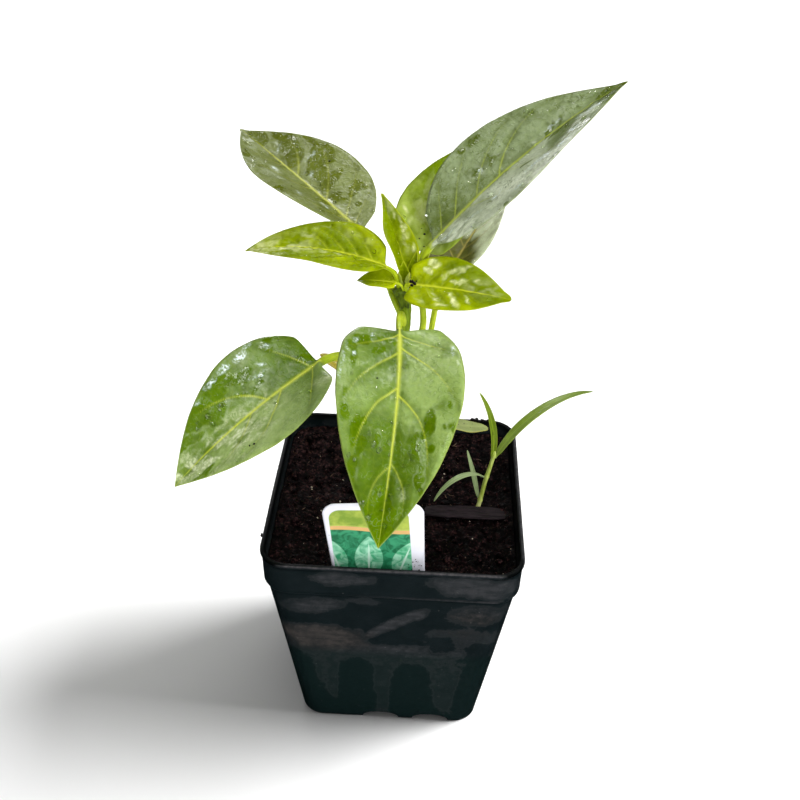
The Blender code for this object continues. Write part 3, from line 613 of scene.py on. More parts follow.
class Recipe:
    """A material with a Principled shader, and short ways to add the nodes that feed it."""

    def __init__(self, name, roughness=0.5, **constants):
        self.material = bpy.data.materials.new(name)
        self.material.use_nodes = True
        self.tree = self.material.node_tree
        self.shader = self.tree.nodes["Principled BSDF"]
        self.shader.inputs["Roughness"].default_value = roughness
        for socket, value in constants.items():
            self.shader.inputs[socket.replace("_", " ")].default_value = value

    def add(self, kind, **settings):
        node = self.tree.nodes.new(kind)
        for name, value in settings.items():
            setattr(node, name, value)
        return node

    def feed(self, socket, source):
        if hasattr(source, "links"):
            self.tree.links.new(source, socket)
        elif isinstance(source, (tuple, list)) and len(source) == 3 and socket.type == "RGBA":
            socket.default_value = (*source, 1.0)
        else:
            socket.default_value = source
        return socket

    def field(self, name):
        return self.add("ShaderNodeAttribute", attribute_name=name).outputs["Fac"]

    def place(self, stretch=(1.0, 1.0, 1.0)):
        """Coordinates on the object, in metres, stretched along the axes."""
        mapping = self.add("ShaderNodeMapping")
        self.feed(mapping.inputs["Vector"], self.add("ShaderNodeTexCoord").outputs["Object"])
        mapping.inputs["Scale"].default_value = stretch
        return mapping.outputs["Vector"]

    def noise(self, size, place, detail=3.0, rough=0.55, distortion=0.0):
        """Noise from 0 to 1 with features of that size in millimetres."""
        node = self.add("ShaderNodeTexNoise")
        self.feed(node.inputs["Vector"], place)
        node.inputs["Scale"].default_value = 1000.0 / size
        node.inputs["Detail"].default_value = detail
        node.inputs["Roughness"].default_value = rough
        node.inputs["Distortion"].default_value = distortion
        return node.outputs["Fac"]

    def cells(self, size, place):
        """Distance from the nearest of many scattered points, as a fraction of that size in millimetres."""
        node = self.add("ShaderNodeTexVoronoi", feature="F1")
        self.feed(node.inputs["Vector"], place)
        node.inputs["Scale"].default_value = 1000.0 / size
        return node.outputs["Distance"]

    def ramp(self, value, low, high, out_low=0.0, out_high=1.0):
        """Turns low..high into out_low..out_high with a soft start and end."""
        node = self.add("ShaderNodeMapRange", interpolation_type="SMOOTHSTEP")
        self.feed(node.inputs["Value"], value)
        numbers = {"From Min": low, "From Max": high, "To Min": out_low, "To Max": out_high}
        for socket, number in numbers.items():
            node.inputs[socket].default_value = number
        return node.outputs["Result"]

    def maths(self, operation, a, b=0.0):
        node = self.add("ShaderNodeMath", operation=operation)
        self.feed(node.inputs[0], a)
        self.feed(node.inputs[1], b)
        return node.outputs["Value"]

    def times(self, a, b):
        return self.maths("MULTIPLY", a, b)

    def mix(self, share, a, b):
        """Colour a where share is 0 and colour b where it is 1."""
        node = self.add("ShaderNodeMix", data_type="RGBA")
        sockets = {"Factor_Float": share, "A_Color": a, "B_Color": b}
        for socket in node.inputs:
            if socket.identifier in sockets:
                self.feed(socket, sockets[socket.identifier])
        return next(socket for socket in node.outputs if socket.identifier == "Result_Color")

    def shade(self, value, low, high, a, b):
        """Colour a where value is low and colour b where it is high."""
        return self.mix(self.ramp(value, low, high), a, b)

    def bump(self, height, depth, normal=None):
        """A normal from a height of 0 to 1 over depth in millimetres."""
        node = self.add("ShaderNodeBump")
        node.inputs["Distance"].default_value = depth * MM
        self.feed(node.inputs["Height"], height)
        if normal:
            self.feed(node.inputs["Normal"], normal)
        return node.outputs["Normal"]

    def finish(self, colour=None, roughness=None, normal=None):
        for socket, source in (("Base Color", colour), ("Roughness", roughness), ("Normal", normal)):
            if source is not None:
                self.feed(self.shader.inputs[socket], source)
        return self.material


# Each finish: the colour under a film of water, the painted sheen of its waxy veil, the veins and the rim.
LEAF_FINISHES = {
    "mature": ((0.078, 0.150, 0.0), (0.270, 0.390, 0.092), (0.56, 0.62, 0.05), (0.34, 0.44, 0.08)),
    "grey": ((0.092, 0.118, 0.004), (0.190, 0.228, 0.066), (0.52, 0.55, 0.08), (0.26, 0.32, 0.07)),
    "silver": ((0.085, 0.125, 0.010), (0.250, 0.318, 0.145), (0.44, 0.52, 0.06), (0.26, 0.32, 0.09)),
    "olive": ((0.115, 0.12, 0.008), (0.86, 0.93, 0.60), (0.58, 0.46, 0.10), (0.34, 0.40, 0.12)),
    "young": ((0.150, 0.215, 0.0), (0.43, 0.515, 0.0), (0.58, 0.63, 0.03), (0.44, 0.50, 0.02)),
    "pale": ((0.165, 0.25, 0.0), (0.42, 0.54, 0.08), (0.38, 0.48, 0.06), (0.36, 0.45, 0.05)),
    "fading": ((0.50, 0.40, 0.03), (0.55, 0.47, 0.06), (0.50, 0.45, 0.08), (0.32, 0.12, 0.03)),
    "seed_leaf": ((0.26, 0.31, 0.11), (0.32, 0.36, 0.15), (0.34, 0.38, 0.15), (0.46, 0.42, 0.05)),
    "grass": ((0.12, 0.19, 0.005), (0.20, 0.27, 0.055), (0.24, 0.33, 0.05), (0.23, 0.31, 0.04)),
    "grass_bright": ((0.08, 0.14, 0.0), (0.15, 0.21, 0.015), (0.30, 0.40, 0.02), (0.26, 0.34, 0.02)),
    "grass_pale": ((0.18, 0.25, 0.09), (0.29, 0.36, 0.20), (0.33, 0.40, 0.20), (0.28, 0.35, 0.16)),
}
# Colours of the painted sheen and of the painted glints.
SILVERY_SHEEN = (0.68, 0.74, 0.60)
SATIN_SHEEN = (0.84, 0.91, 0.70)
CREAM_SHEEN = (0.68, 0.74, 0.46)
YOUNG_SHEEN = (0.84, 0.87, 0.45)
PALE_SHEEN = (0.92, 0.97, 0.80)
GLINT_WHITE = (0.74, 0.86, 0.84)
UNDERSIDE = (0.30, 0.42, 0.17)
STALK_GREENS = ((0.28, 0.40, 0.0), (0.54, 0.64, 0.03))


def tinted(colour, factor, lift=0.0):
    return tuple(factor * c + lift for c in colour)


def leaf_top(finish):
    """The upper skin: green under water, a greyer painted sheen of the waxy veil where it is drier, painted
    glints, pale veins and rim.
    """
    deep, veil, vein, rim = LEAF_FINISHES[finish]
    soft = finish in ("young", "pale")
    waxy = finish in ("mature", "grey", "silver")
    even = soft or finish in ("silver", "olive")
    shine = {"young": 0.12, "pale": 0.12, "silver": 0.3}.get(finish, 0.5)
    sheen = {"mature": CREAM_SHEEN, "grey": SILVERY_SHEEN, "silver": SATIN_SHEEN, "olive": PALE_SHEEN}.get(finish, YOUNG_SHEEN)
    r = Recipe(f"{finish}_leaf_top", IOR=1.3 if soft else 1.45, Specular_IOR_Level=shine)
    place = r.place()
    fine = r.noise(0.9, place, detail=3.0)

    # The green under water, the painted sheen of its waxy veil, painted shade along the ripples, and the
    # silvery painted sheen on that.
    grain = r.ramp(r.noise(1.6, place, detail=5.0), 0.3, 0.7, *((0.92, 1.06) if soft else (0.82, 1.12)))
    mottle = r.noise(6.0, place, detail=4.0)
    under = r.shade(mottle, 0.3, 0.7, tinted(deep, 0.84), tinted(deep, 1.18))
    colour = r.mix(r.times(r.field("veil"), grain), under, veil)
    colour = r.mix(r.times(r.field("ripple_shade"), 0.55), colour, tinted(deep, 0.8))
    speckle = r.ramp(r.noise(0.9, place, detail=2.0), 0.42, 0.6, *((0.85, 1.12) if even else (0.55, 1.25)))
    colour = r.mix(r.times(r.field("silver"), speckle), colour, sheen)
    if waxy:
        # Thin winding lines, painted shade beside a painted highlight, along fine ripples: their level in
        # the noise, share and colour.
        edges = r.noise(3.0, place, detail=2.0, distortion=1.2)
        patches = r.ramp(mottle, 0.46, 0.58)
        strong = 0.4 if finish == "mature" else 0.7
        for level, share, tint in ((0.5, strong, under), (0.545, 0.3 * strong, tinted(veil, 0.6, 0.3))):
            away = r.maths("ABSOLUTE", r.maths("SUBTRACT", edges, level))
            line = r.times(r.ramp(away, 0.03, 0.01), patches)
            colour = r.mix(r.times(line, share), colour, tint)

    # Painted highlights on the shores of pools, veins, painted glints, the rim and the stalk.
    colour = r.mix(r.times(r.field("shore"), 0.22), colour, tinted(veil, 0.6, 0.3))
    colour = r.mix(r.times(r.field("net"), 0.05), colour, vein)
    colour = r.mix(r.field("vein"), colour, vein)
    sparkle = r.ramp(r.noise(0.7, place, detail=2.0), 0.42, 0.58, *((0.85, 1.1) if soft else (0.15, 1.4)))
    colour = r.mix(r.times(r.field("gleam"), sparkle), colour, YOUNG_SHEEN if soft else GLINT_WHITE)
    colour = r.mix(r.times(r.field("rim"), 0.7), colour, rim)
    colour = r.mix(r.field("stalk"), colour, r.shade(mottle, 0.2, 0.8, *STALK_GREENS))

    # Smooth where it is wet, with the fine relief of drizzle.
    dry = 0.24 if soft else 0.32
    roughness = r.ramp(r.field("film"), 0.0, 1.0, dry, 0.12)
    roughness = r.maths("ADD", roughness, r.ramp(fine, 0.3, 0.7, -0.04, 0.06))
    drizzle = r.ramp(r.noise(2.6, place, detail=2.0, distortion=1.0), 0.44, 0.56)
    wet = 0.08 if finish in ("grey", "silver") else 0.05
    return r.finish(colour, roughness, r.bump(fine, 0.05, r.bump(drizzle, wet)))


def leaf_under(finish):
    """The lower skin: paler and dull, with its veins standing out."""
    _, veil, vein, rim = LEAF_FINISHES[finish]
    r = Recipe(f"{finish}_leaf_under", IOR=1.4)
    place = r.place()
    pale = tuple(0.5 * min(c, 0.45) + 0.5 * p for c, p in zip(veil, UNDERSIDE))
    mottle = r.noise(5.0, place, detail=4.0)
    colour = r.shade(mottle, 0.3, 0.7, tinted(pale, 0.9), tinted(pale, 1.1))
    for field, share, tint in (("net", 0.25, vein), ("vein", 0.9, vein), ("rim", 0.5, rim)):
        colour = r.mix(r.times(r.field(field), share), colour, tint)
    colour = r.mix(r.field("stalk"), colour, r.shade(mottle, 0.2, 0.8, *STALK_GREENS))
    fine = r.noise(0.9, place, detail=2.0)
    return r.finish(colour, r.ramp(fine, 0.2, 0.8, 0.5, 0.68), r.bump(fine, 0.05))


def water_material():
    r = Recipe("water", roughness=0.02, IOR=1.33, Transmission_Weight=1.0)
    r.shader.inputs["Base Color"].default_value = (0.98, 1.0, 0.96, 1.0)
    return r.material


# Leaves ---------------------------------------------------------------------------------------


def half_width(blade, u):
    """Half width at a fraction of the length: an egg shape that starts and ends at a point."""
    swell = blade.taper * blade.widest / (1 - blade.widest)
    egg = blade.width / 2 * (u / blade.widest) ** swell * ((1 - u) / (1 - blade.widest)) ** blade.taper
    return np.maximum(egg, blade.blunt * np.sqrt(1 - u) * smooth(0.6, 0.9, u))


def blade_axes(blade, u):
    """The blade's forward ways, its left sides and its upper sides at fractions of its length."""
    heading = blade.heading + blade.turn * u
    forward = ways(heading, blade.rise + blade.droop * u)
    level = ways(heading + 90, 0 * u)
    over = np.cross(forward, level)
    roll = np.radians(blade.roll + blade.twist * u)[:, None]
    left = level * np.cos(roll) + over * np.sin(roll)
    return forward, left, np.cross(forward, left)


def midrib(blade, u):
    middle = (u[1:] + u[:-1]) / 2
    step = ways(blade.heading + blade.turn * middle, blade.rise + blade.droop * middle)
    step = step * (blade.length * np.diff(u))[:, None]
    return np.array(blade.base, float) + np.vstack([np.zeros(3), np.cumsum(step, axis=0)])


def side_vein_distance(blade, look, u, v, half):
    """Distance of each place on the blade from the nearest side vein, each curving towards the tip."""
    nearest = np.full(v.shape, 99.0)
    out = np.abs(v)
    for starts, side in ((look.veins_left, 1), (look.veins_right, -1)):
        for start in starts:
            sweep = look.sweep * (half_width(blade, start) / (blade.width / 2)) ** 1.1
            lean, bend = 0.24 * sweep, 0.2 * sweep
            slope = (lean + 2 * bend * out) * blade.length
            across = half / np.sqrt(slope**2 + half**2)
            away = np.abs(u - start - lean * out - bend * out**2) * blade.length * across
            nearest = np.where(side * v >= 0, np.minimum(nearest, away), nearest)
    return nearest


def away_from(blade, x, y, along, across):
    """Offsets in millimetres from a place on the blade."""
    return x - along * blade.length, y - across * half_width(blade, min(max(along, 0.01), 0.99))


def clean_depth(blade, x, y, pools):
    """How far inside the nearest pool each place is, in millimetres, or below 0 outside them."""
    depth = np.full(x.shape, -9.0)
    for along, across, length, width, lean in pools:
        dx, dy = away_from(blade, x, y, along, across)
        a, b = turned(dx, -dy if across < 0 else dy, lean)
        depth = np.maximum(depth, (1 - np.hypot(a / length, b / width)) * width)
    return depth


def soft_sum(blade, x, y, places):
    """The sum of soft round places (along, across, radius, amount)."""
    total = np.zeros(x.shape)
    for along, across, radius, amount in places:
        dx, dy = away_from(blade, x, y, along, across)
        total = total + amount * np.exp(-(dx**2 + dy**2) / (2 * radius**2))
    return total


def blade_fields(blade, look, u, v, half, seed):
    """Height of the relief above the smooth blade, and the masks that its colours are mixed by."""
    x, y = u * blade.length, v * half
    flat = level_points(x, y, 13.0 * seed)
    out, beside = np.abs(v), np.abs(y)
    edge = (1 - out) * half
    calm = smooth(0.0, 1.6, edge)  # the relief dies out at the edge

    # Veins: the midrib, the side veins and the net of cells between them.
    wander = 0.009 * unevenness(flat, 7.0, seed + 61, 2)
    side = side_vein_distance(blade, look, u + wander, v, half)
    border = cell_borders(x, y, look.cell_size, seed)
    side_width = 0.25 * (1 - 0.6 * out) * min(1.0, blade.width / 26)
    side_vein = bell(side, side_width) * smooth(0.98, 0.6, out) * smooth(0.0, 0.04, u)
    main_width = 0.8 * midrib_radius(blade, u) * (1 - 0.3 * u) + 0.06
    main_vein = bell(y, main_width) * (1 - 0.35 * smooth(0.6, 1.0, u))
    fading = look.vein * (1 - 0.75 * out) * (0.85 + 0.4 * unevenness(flat, 5.0, seed + 9))
    vein = np.maximum(main_vein, fading * (1 - 0.6 * smooth(0.5, 0.72, u)) * side_vein)
    net = bell(border, 0.16) * smooth(0.0, 0.8, edge) * (look.cells > 0)
    relief = look.puff * (1 - bell(side, 1.5)) * (1 - bell(y, 1.8)) * calm
    relief = relief + look.cells * smooth(0.0, 1.0, border) * calm
    if look.ribs:
        stripes = np.cos(look.ribs * math.pi * v) * calm
        relief = relief + 0.04 * stripes
        vein = np.maximum(vein, 0.4 * smooth(0.5, 1.0, stripes))
    relief = relief + look.swell * unevenness(flat, 13.0, seed, 2) * calm * smooth(0.3, 3.0, beside)

    # Water: the film in the pools and in loose wet patches, and the shore round it, raised a little and
    # given a painted highlight.
    warp = np.stack([unevenness(flat, 4.0, seed + k, 2) for k in (21, 22)] + [0 * x], axis=-1)
    depth = clean_depth(blade, x + 1.6 * warp[..., 0], y + 1.6 * warp[..., 1], look.pools)
    depth = depth + 0.25 + 0.4 * unevenness(flat, 2.0, seed + 7, 2)
    wetness = 0.95 * unevenness(flat + 40.0 + 2.2 * warp, 6.5, seed + 5, 4) + look.film
    film = np.maximum(smooth(-0.2, 0.3, depth), smooth(0.12, 0.2, wetness)) * smooth(0.0, 0.5, edge)
    shore = np.maximum(bell(depth + 0.4, 0.25), bell(wetness - 0.1, 0.03)) * calm
    shore = shore * smooth(0.0, 0.4, warp[..., 1])
    relief = relief + (0.08 * film + 0.04 * shore) * calm

    # The painted sheen of the waxy veil: winding ripples, broad patches and a fine ladder of wrinkles
    # across the blade.
    winding = unevenness(flat * np.array((0.8, 1.0, 1.0)) + 2.0 * warp, 3.4, seed + 31, 3)
    ripple_shade = bell(winding, 0.045) * smooth(-0.1, 0.3, warp[..., 0]) * look.ripples
    relief = relief + 0.09 * look.ripples * smooth(-0.08, 0.08, winding) * calm
    broad = unevenness(flat, 7.0, seed + 12, 3)
    ladder = unevenness(flat * np.array((1.0, 0.36, 1.0)) + 0.5 * warp, 1.7, seed + 51, 2)
    ladder = ladder * smooth(0.8, 2.2, beside)
    relief = relief + 0.08 * ladder * calm
    veil = np.where(v >= 0, *look.veil) + soft_sum(blade, x, y, look.dulls)
    # Less painted sheen in the creases by the veins and along the ladder of wrinkles: painted shade.
    crease_shade = 0.55 * bell(side, 1.2) + 0.35 * bell(y, 2.2)
    veil = veil * (1 - crease_shade) * (0.9 + 0.8 * broad + 0.35 * ladder)
    # More sheen on one side of each ripple: a painted highlight.
    veil = veil + 0.25 * look.ripples * smooth(-0.02, 0.12, winding) - 0.12
    # Less painted sheen at the cell borders: painted shade in the quilting.
    if look.cells > 0.1:
        veil = veil * (0.72 + 0.34 * smooth(0.1, 1.1, border))
    veil = np.clip(veil, 0.0, 1.0) * (1 - film)

    # The painted sheen: silvery halves and places, and small painted glints with crumpled edges.
    silver = np.where(v >= 0, *look.silver) * smooth(0.0, 1.5, beside) * (0.8 + 0.9 * broad)
    spread = soft_sum(blade, x + 2.0 * warp[..., 0], y + 1.2 * warp[..., 1], look.glows)
    streaks = unevenness(flat * np.array((0.7, 1.3, 1.0)) + warp, 2.2, seed + 41, 3)
    # Places with less sheen stay solid, so that they can paint shade such as a cast shadow.
    silver = silver + np.where(spread > 0, spread * smooth(-0.3, 0.25, streaks), spread)
    crumple = [unevenness(flat, 1.5, seed + k, 2) for k in (71, 72)]
    gleam = clean_depth(blade, x + 0.9 * crumple[0], y + 0.9 * crumple[1], look.gleams)
    gleam = (0.55 + 0.7 * crumple[0]) * smooth(-0.45, 0.3, gleam)

    dry = 1 - film
    fields = {"vein": vein, "net": net, "film": film, "shore": shore * dry, "ripple_shade": ripple_shade * dry}
    fields.update(veil=veil, silver=silver * (1 - 0.8 * film), gleam=gleam, rim=bell(edge, 0.3))
    fields["stalk"] = 0 * x
    return relief, {name: np.clip(values, 0.0, 1.0) for name, values in fields.items()}


def midrib_radius(blade, u):
    """Radius of the midrib, which thins from the base to a fine point."""
    return min(1.1, 0.028 * blade.width + 0.1) * ((1 - u) ** 0.9 * 0.8 + 0.1)


def grid_steps(length, step):
    return max(int(math.ceil(length / step)), 6)


def lane_places(lanes):
    """Places from -1 to 1 across a blade, closer together near its midrib."""
    s = np.linspace(-1.0, 1.0, lanes)
    return np.sign(s) * np.abs(s) ** LANE_SPREAD


def blade_skin(blade, look, radius, seed, step=MESH_STEP):
    """Upper and lower points of a blade on a grid (station, lane), with its masks."""
    line = np.linspace(0.0, 1.0, grid_steps(blade.length, step) + 1)[:-1] ** 1.08
    u, v = np.meshgrid(line, lane_places(2 * grid_steps(blade.width / 2, step) + 1), indexing="ij")
    half = np.maximum(half_width(blade, line), radius * smooth(0.3, 0.1, line))[:, None] * np.ones_like(v)
    frill = 1 + 0.004 * np.sin(line * 22 + seed) + 0.002 * np.sin(line * 51 + 2 * seed)
    half = half * frill[:, None]
    relief, fields = blade_fields(blade, look, u, v, half, seed)

    # At its base the blade is as round as its stalk, and it opens out from there.
    opened = smooth(0.0, OPENING, u)
    y = opened * v * half + (1 - opened) * radius * np.sin(v * math.pi / 2)
    round_off = (1 - opened) * radius * np.cos(v * math.pi / 2)

    # How far each skin is from the middle of the blade. The lower one also shows the side veins.
    from_edge = (1 - np.abs(v)) * half
    rib = midrib_radius(blade, u)
    bulge = bell(y, rib)
    edge = np.sqrt(np.clip(from_edge / 0.5, 0.0, 1.0))
    wave = look.wave * np.abs(v) ** 3 * np.sin(u * 11 + 2.2 * np.sign(v) + seed) * opened
    relief = relief * opened + wave
    above = relief + opened * (LEAF_THICKNESS / 2 * edge + 0.3 * rib * bulge) + round_off
    side_ribs = 0.25 * fields["vein"] * smooth(0.0, 2.0, from_edge)
    below = relief - opened * (LEAF_THICKNESS / 2 * edge + 0.95 * rib * bulge + side_ribs) - round_off

    # Both halves are folded up from the midrib, and the shoulders reach back past the base.
    bend = np.radians((blade.fold + blade.curl * np.abs(v) / 2) * smooth(0.0, blade.flat_base, u))
    level, lift = np.cos(bend)[..., None], (np.sin(bend) * np.sign(v))[..., None]
    forward, left, up = (axis[:, None] for axis in blade_axes(blade, line))
    over = up * level - left * lift
    centre = midrib(blade, line)[:, None] + (left * level + up * lift) * y[..., None]
    back = blade.lobes * blade.length * (1 - u) ** 4 * opened * np.abs(v) ** 1.5
    centre = centre - forward * back[..., None]
    return centre + over * above[..., None], centre + over * below[..., None], fields


def stem_point(z):
    """The stem's middle at a height: a gentle bend through three points."""
    foot = Vector((0.0, 0.0, SOIL_LEVEL))
    t = (z - foot.z) / (STEM_TOP.z - foot.z)
    lean = foot.lerp(STEM_TOP, t)
    bend_at = (STEM_BEND.z - foot.z) / (STEM_TOP.z - foot.z)
    sway = (STEM_BEND - foot.lerp(STEM_TOP, bend_at)) * (4 * t * (1 - t))
    return Vector((lean.x + sway.x, lean.y + sway.y, z))


def stem_radius(z):
    low, high = SOIL_LEVEL + STEM_FLARE, STEM_TOP.z - STEM_TAPER
    if z < low:
        return STEM_FOOT_RADIUS + (STEM_RADIUS - STEM_FOOT_RADIUS) * max(z - SOIL_LEVEL, 0.0) / STEM_FLARE
    if z > high:
        return STEM_RADIUS * (1.0 - 0.35 * (z - high) / STEM_TAPER)
    return STEM_RADIUS


def stalk_skin(stalk, blade, lanes):
    """Upper and lower points of the stalk, from inside the stem to the blade's base, flared at its foot."""
    outward = np.array(ways(stalk.heading, 0.0))
    foot = np.array(stem_point(stalk.node)) + outward * (stem_radius(stalk.node) * 0.3)
    way = ways(stalk.heading, stalk.rise)
    end = np.array(blade.base, float)
    forward, left, _ = (axis[0] for axis in blade_axes(blade, np.array([0.0])))

    # A smooth curve that leaves the stem the stalk's way and arrives the blade's way.
    reach = 0.4 * np.linalg.norm(end - foot)
    corners = [foot, foot + way * reach, end - forward * reach, end]
    steps = grid_steps(np.linalg.norm(end - foot), 2 * MESH_STEP)
    t = np.linspace(0.0, 1.0, steps + 1)[:-1, None]
    powers = ((1 - t) ** 3, 3 * t * (1 - t) ** 2, 3 * t * t * (1 - t), t**3)
    route = sum(c * w for c, w in zip(corners, powers))

    # Round it, two half rings of points with a groove along the top.
    along = unit(np.gradient(np.vstack([route, end]), axis=0)[:-1])
    side = unit(left - along * (along @ left)[:, None])
    over = np.cross(along, side)[:, None]
    far = np.linalg.norm(route - foot, axis=1)
    radius = (stalk.radius * (1 + 0.25 * bell(far, 2.2)))[:, None, None]
    angle = lane_places(lanes) * math.pi / 2
    groove = 1 - 0.16 * bell(angle, 0.45) * smooth(0.0, 3.0, far)[:, None]
    rim = side[:, None] * np.sin(angle)[None, :, None]
    top = route[:, None] + radius * (rim + over * (np.cos(angle)[None] * groove)[..., None])
    bottom = route[:, None] + radius * (rim - over * np.cos(angle)[None, :, None])
    return top, bottom


def two_sided_skin(name, top, bottom, fields, materials):
    """One closed skin from upper and lower grids that share their edges."""
    stations, lanes = top.shape[:2]
    around = 2 * lanes - 2
    rings = np.concatenate([top, bottom[:, -2:0:-1]], axis=1)
    tip, root = stations * around, stations * around + 1
    end = top[-1].mean(axis=0)
    pointed = end + 0.7 * (end - top[-2].mean(axis=0))
    points = np.vstack([rings.reshape(-1, 3), pointed, rings[0].mean(axis=0)])
    faces = ring_faces(stations, around) + fan(tip - around, around, tip) + fan(0, around, root)
    slots = [int(i >= lanes - 1) for i in range(around)] * (stations + 1)
    full = {}
    for field, values in fields.items():
        ring = np.concatenate([values, values[:, -2:0:-1]], axis=1)
        full[field] = np.concatenate([ring.ravel(), [ring[-1].mean(), ring[0].mean()]])
    return new_object(name, points, faces, materials, slots, full)


def surface_spot(top, along, across):
    """A point on the upper grid and the way up there."""
    stations, lanes = top.shape[:2]
    i = min(max(int(along * (stations - 1)), 1), stations - 2)
    s = math.copysign(abs(across) ** (1 / LANE_SPREAD), across)
    j = min(max(int((s + 1) / 2 * (lanes - 1)), 1), lanes - 2)
    normal = np.cross(top[i + 1, j] - top[i - 1, j], top[i, j + 1] - top[i, j - 1])
    return top[i, j], normal / np.linalg.norm(normal)


def scatter_drops(name, top, blade, look, material, slot, rng):
    """Round beads of water that sit on the blade, most of them small."""
    least, usual, larger = DROP_RADII
    points, faces = [], []
    for _ in range(look.drops):
        along = rng.uniform(0.04, 0.94)
        across = rng.uniform(-0.9, 0.9)
        room = half_width(blade, along) * (1 - abs(across))
        radius = min(usual + larger * rng.random() ** 2.6, 0.8 * room)
        if radius < least:
            continue
        spin = rng.uniform(0, 2 * math.pi)
        bead(points, faces, *surface_spot(top, along, across), radius, spin, rng.uniform(0.6, 1.0))
    if points:
        place_piece(new_object(name, points, faces, [material]), slot)


def bead(points, faces, middle, normal, radius, spin, squash):
    """Adds one drop: a low dome with its foot just under the surface."""
    around, levels = 14, 4
    middle, normal = Vector(middle), Vector(normal)
    side = normal.orthogonal().normalized()
    side.rotate(Matrix.Rotation(spin, 3, normal))
    other = normal.cross(side)
    first = len(points)
    height = DROP_HEIGHT * radius
    for level in range(levels):
        slope = level / levels * math.pi / 2
        width = radius * math.cos(slope) ** 0.8
        lift = height * math.sin(slope) - DROP_SINK
        for k in range(around):
            turn = 2 * math.pi * k / around
            spot = side * (width * math.cos(turn)) + other * (width * squash * math.sin(turn))
            points.append((middle + (spot + normal * lift))[:])
    points.append((middle + normal * (height - DROP_SINK))[:])
    points.append((middle - normal * (2 * DROP_SINK))[:])
    crown = first + levels * around
    faces.extend(ring_faces(levels, around, first) + fan(crown - around, around, crown))
    faces.extend((b, a, foot) for a, b, foot in fan(first, around, crown + 1))


def blade_materials(materials, finish):
    return [materials[finish + "_top"], materials[finish + "_under"]]


def make_leaf(node, stalk, blade, look, materials, seed, slot):
    """One leaf: stalk and blade in one skin, and its drops and specks as pieces of their own."""
    top, bottom, fields = blade_skin(blade, look, stalk.radius, seed)
    stalk_top, stalk_bottom = stalk_skin(stalk, blade, top.shape[1])
    ones = np.ones(stalk_top.shape[:2])
    masks = {name: np.vstack([ones * (name == "stalk"), values]) for name, values in fields.items()}
    skin_top = np.concatenate([stalk_top, top])
    skin_bottom = np.concatenate([stalk_bottom, bottom])
    skins = blade_materials(materials, look.finish)
    place_piece(two_sided_skin(node + "_skin", skin_top, skin_bottom, masks, skins), slot, node)
    rng = random.Random(seed)
    scatter_drops(node + "_drops", top, blade, look, materials["water"], slot, rng)
    points, faces = [], []
    for along, across, size in look.specks:
        middle, normal = surface_spot(top, along, across)
        spot = middle + normal * size * 0.3
        lump(points, faces, spot, (size, size, size * 0.7), random_turn(rng), seed)
    if points:
        place_piece(new_object(node + "_specks", points, faces, [materials["speck"]]), "soil")


def make_leaves(materials):
    for number, (node, (stalk, blade, look)) in enumerate(LEAVES.items()):
        young = look.finish in ("young", "pale")
        slot = "cotyledon" if "cotyledon" in node else "young_leaf" if young else "leaf"
        make_leaf(node, stalk, blade, look, materials, number + 3, slot)


# Stem, crown and grass ------------------------------------------------------------------------


def tube_skin(name, centres, radii, materials, fields, around=20, ribs=0, rib_depth=0.0):
    """A closed tube through centres, its ends rounded off by the radii, with ribs along it if asked."""
    centres = np.asarray(centres, float)
    along = unit(np.gradient(centres, axis=0))
    side = unit(np.cross(along, np.array((0.31, 1.0, 0.12))))
    over = np.cross(along, side)
    angle = np.linspace(0, 2 * math.pi, around, endpoint=False)
    wide = np.asarray(radii)[:, None] * (1 + rib_depth * np.cos(ribs * angle))[None]
    rings = centres[:, None] + side[:, None] * (wide * np.cos(angle))[..., None]
    rings = rings + over[:, None] * (wide * np.sin(angle))[..., None]
    fields = {field: np.repeat(values, around) for field, values in fields.items()}
    return skin(name, rings, materials, fields)


def stem_material():
    r = Recipe("stem_skin", Specular_IOR_Level=0.25)
    place = r.place(stretch=(1.0, 1.0, 0.25))
    streaks = r.noise(0.9, place, detail=3.0)
    colour = r.shade(streaks, 0.3, 0.7, (0.13, 0.21, 0.0), (0.25, 0.36, 0.010))
    dark_green = r.shade(streaks, 0.35, 0.65, (0.050, 0.080, 0.002), (0.130, 0.195, 0.006))
    colour = r.mix(r.field("crown_dark"), colour, dark_green)
    colour = r.mix(r.field("foot"), colour, (0.16, 0.17, 0.05))
    return r.finish(colour, r.ramp(streaks, 0.3, 0.7, 0.38, 0.52), r.bump(streaks, 0.12))


def make_stem(material):
    """The stem: lightly ribbed, thicker where a stalk leaves it, and darker at the crown."""
    heights = np.linspace(SOIL_LEVEL - 2.0, STEM_TOP.z, 190)
    nodes = [stalk.node for stalk, _, _ in LEAVES.values()]
    radii = []
    for z in heights:
        swelling = max(math.exp(-(((z - node) / 2.0) ** 2)) for node in nodes)
        radii.append(stem_radius(z) * (1 + 0.16 * swelling))
    radii[-1] *= 0.5
    crown_dark_share = 0.8 * smooth(COLLAR_FOOT, COLLAR_FOOT + 4.0, heights)
    fields = {"crown_dark": crown_dark_share, "foot": smooth(SOIL_LEVEL + 9.0, SOIL_LEVEL, heights)}
    centres = [stem_point(z) for z in heights]
    stem = tube_skin("main_stem_skin", centres, radii, [material], fields, 30, 5, 0.05)
    place_piece(stem, "stem", "main_stem")


# Leaflets round the bud: base, length, width, heading and rise.
CROWN_LEAFLETS = {
    "crown_leaflet_front": ((1.6, -0.6, 169.8), 6.4, 3.0, -70, 72),
    "crown_leaflet_back": ((2.4, 1.6, 169.6), 12.0, 5.0, 50, 68),
    "crown_leaflet_middle": ((0.0, 0.8, 169.2), 9.0, 5.6, 100, 72),
    "crown_leaflet_left": ((-0.3, 0.2, 170.2), 5.2, 2.4, 185, 66),
    "crown_leaflet_right": ((2.6, 0.6, 169.8), 12.5, 4.4, 28, 50),
}


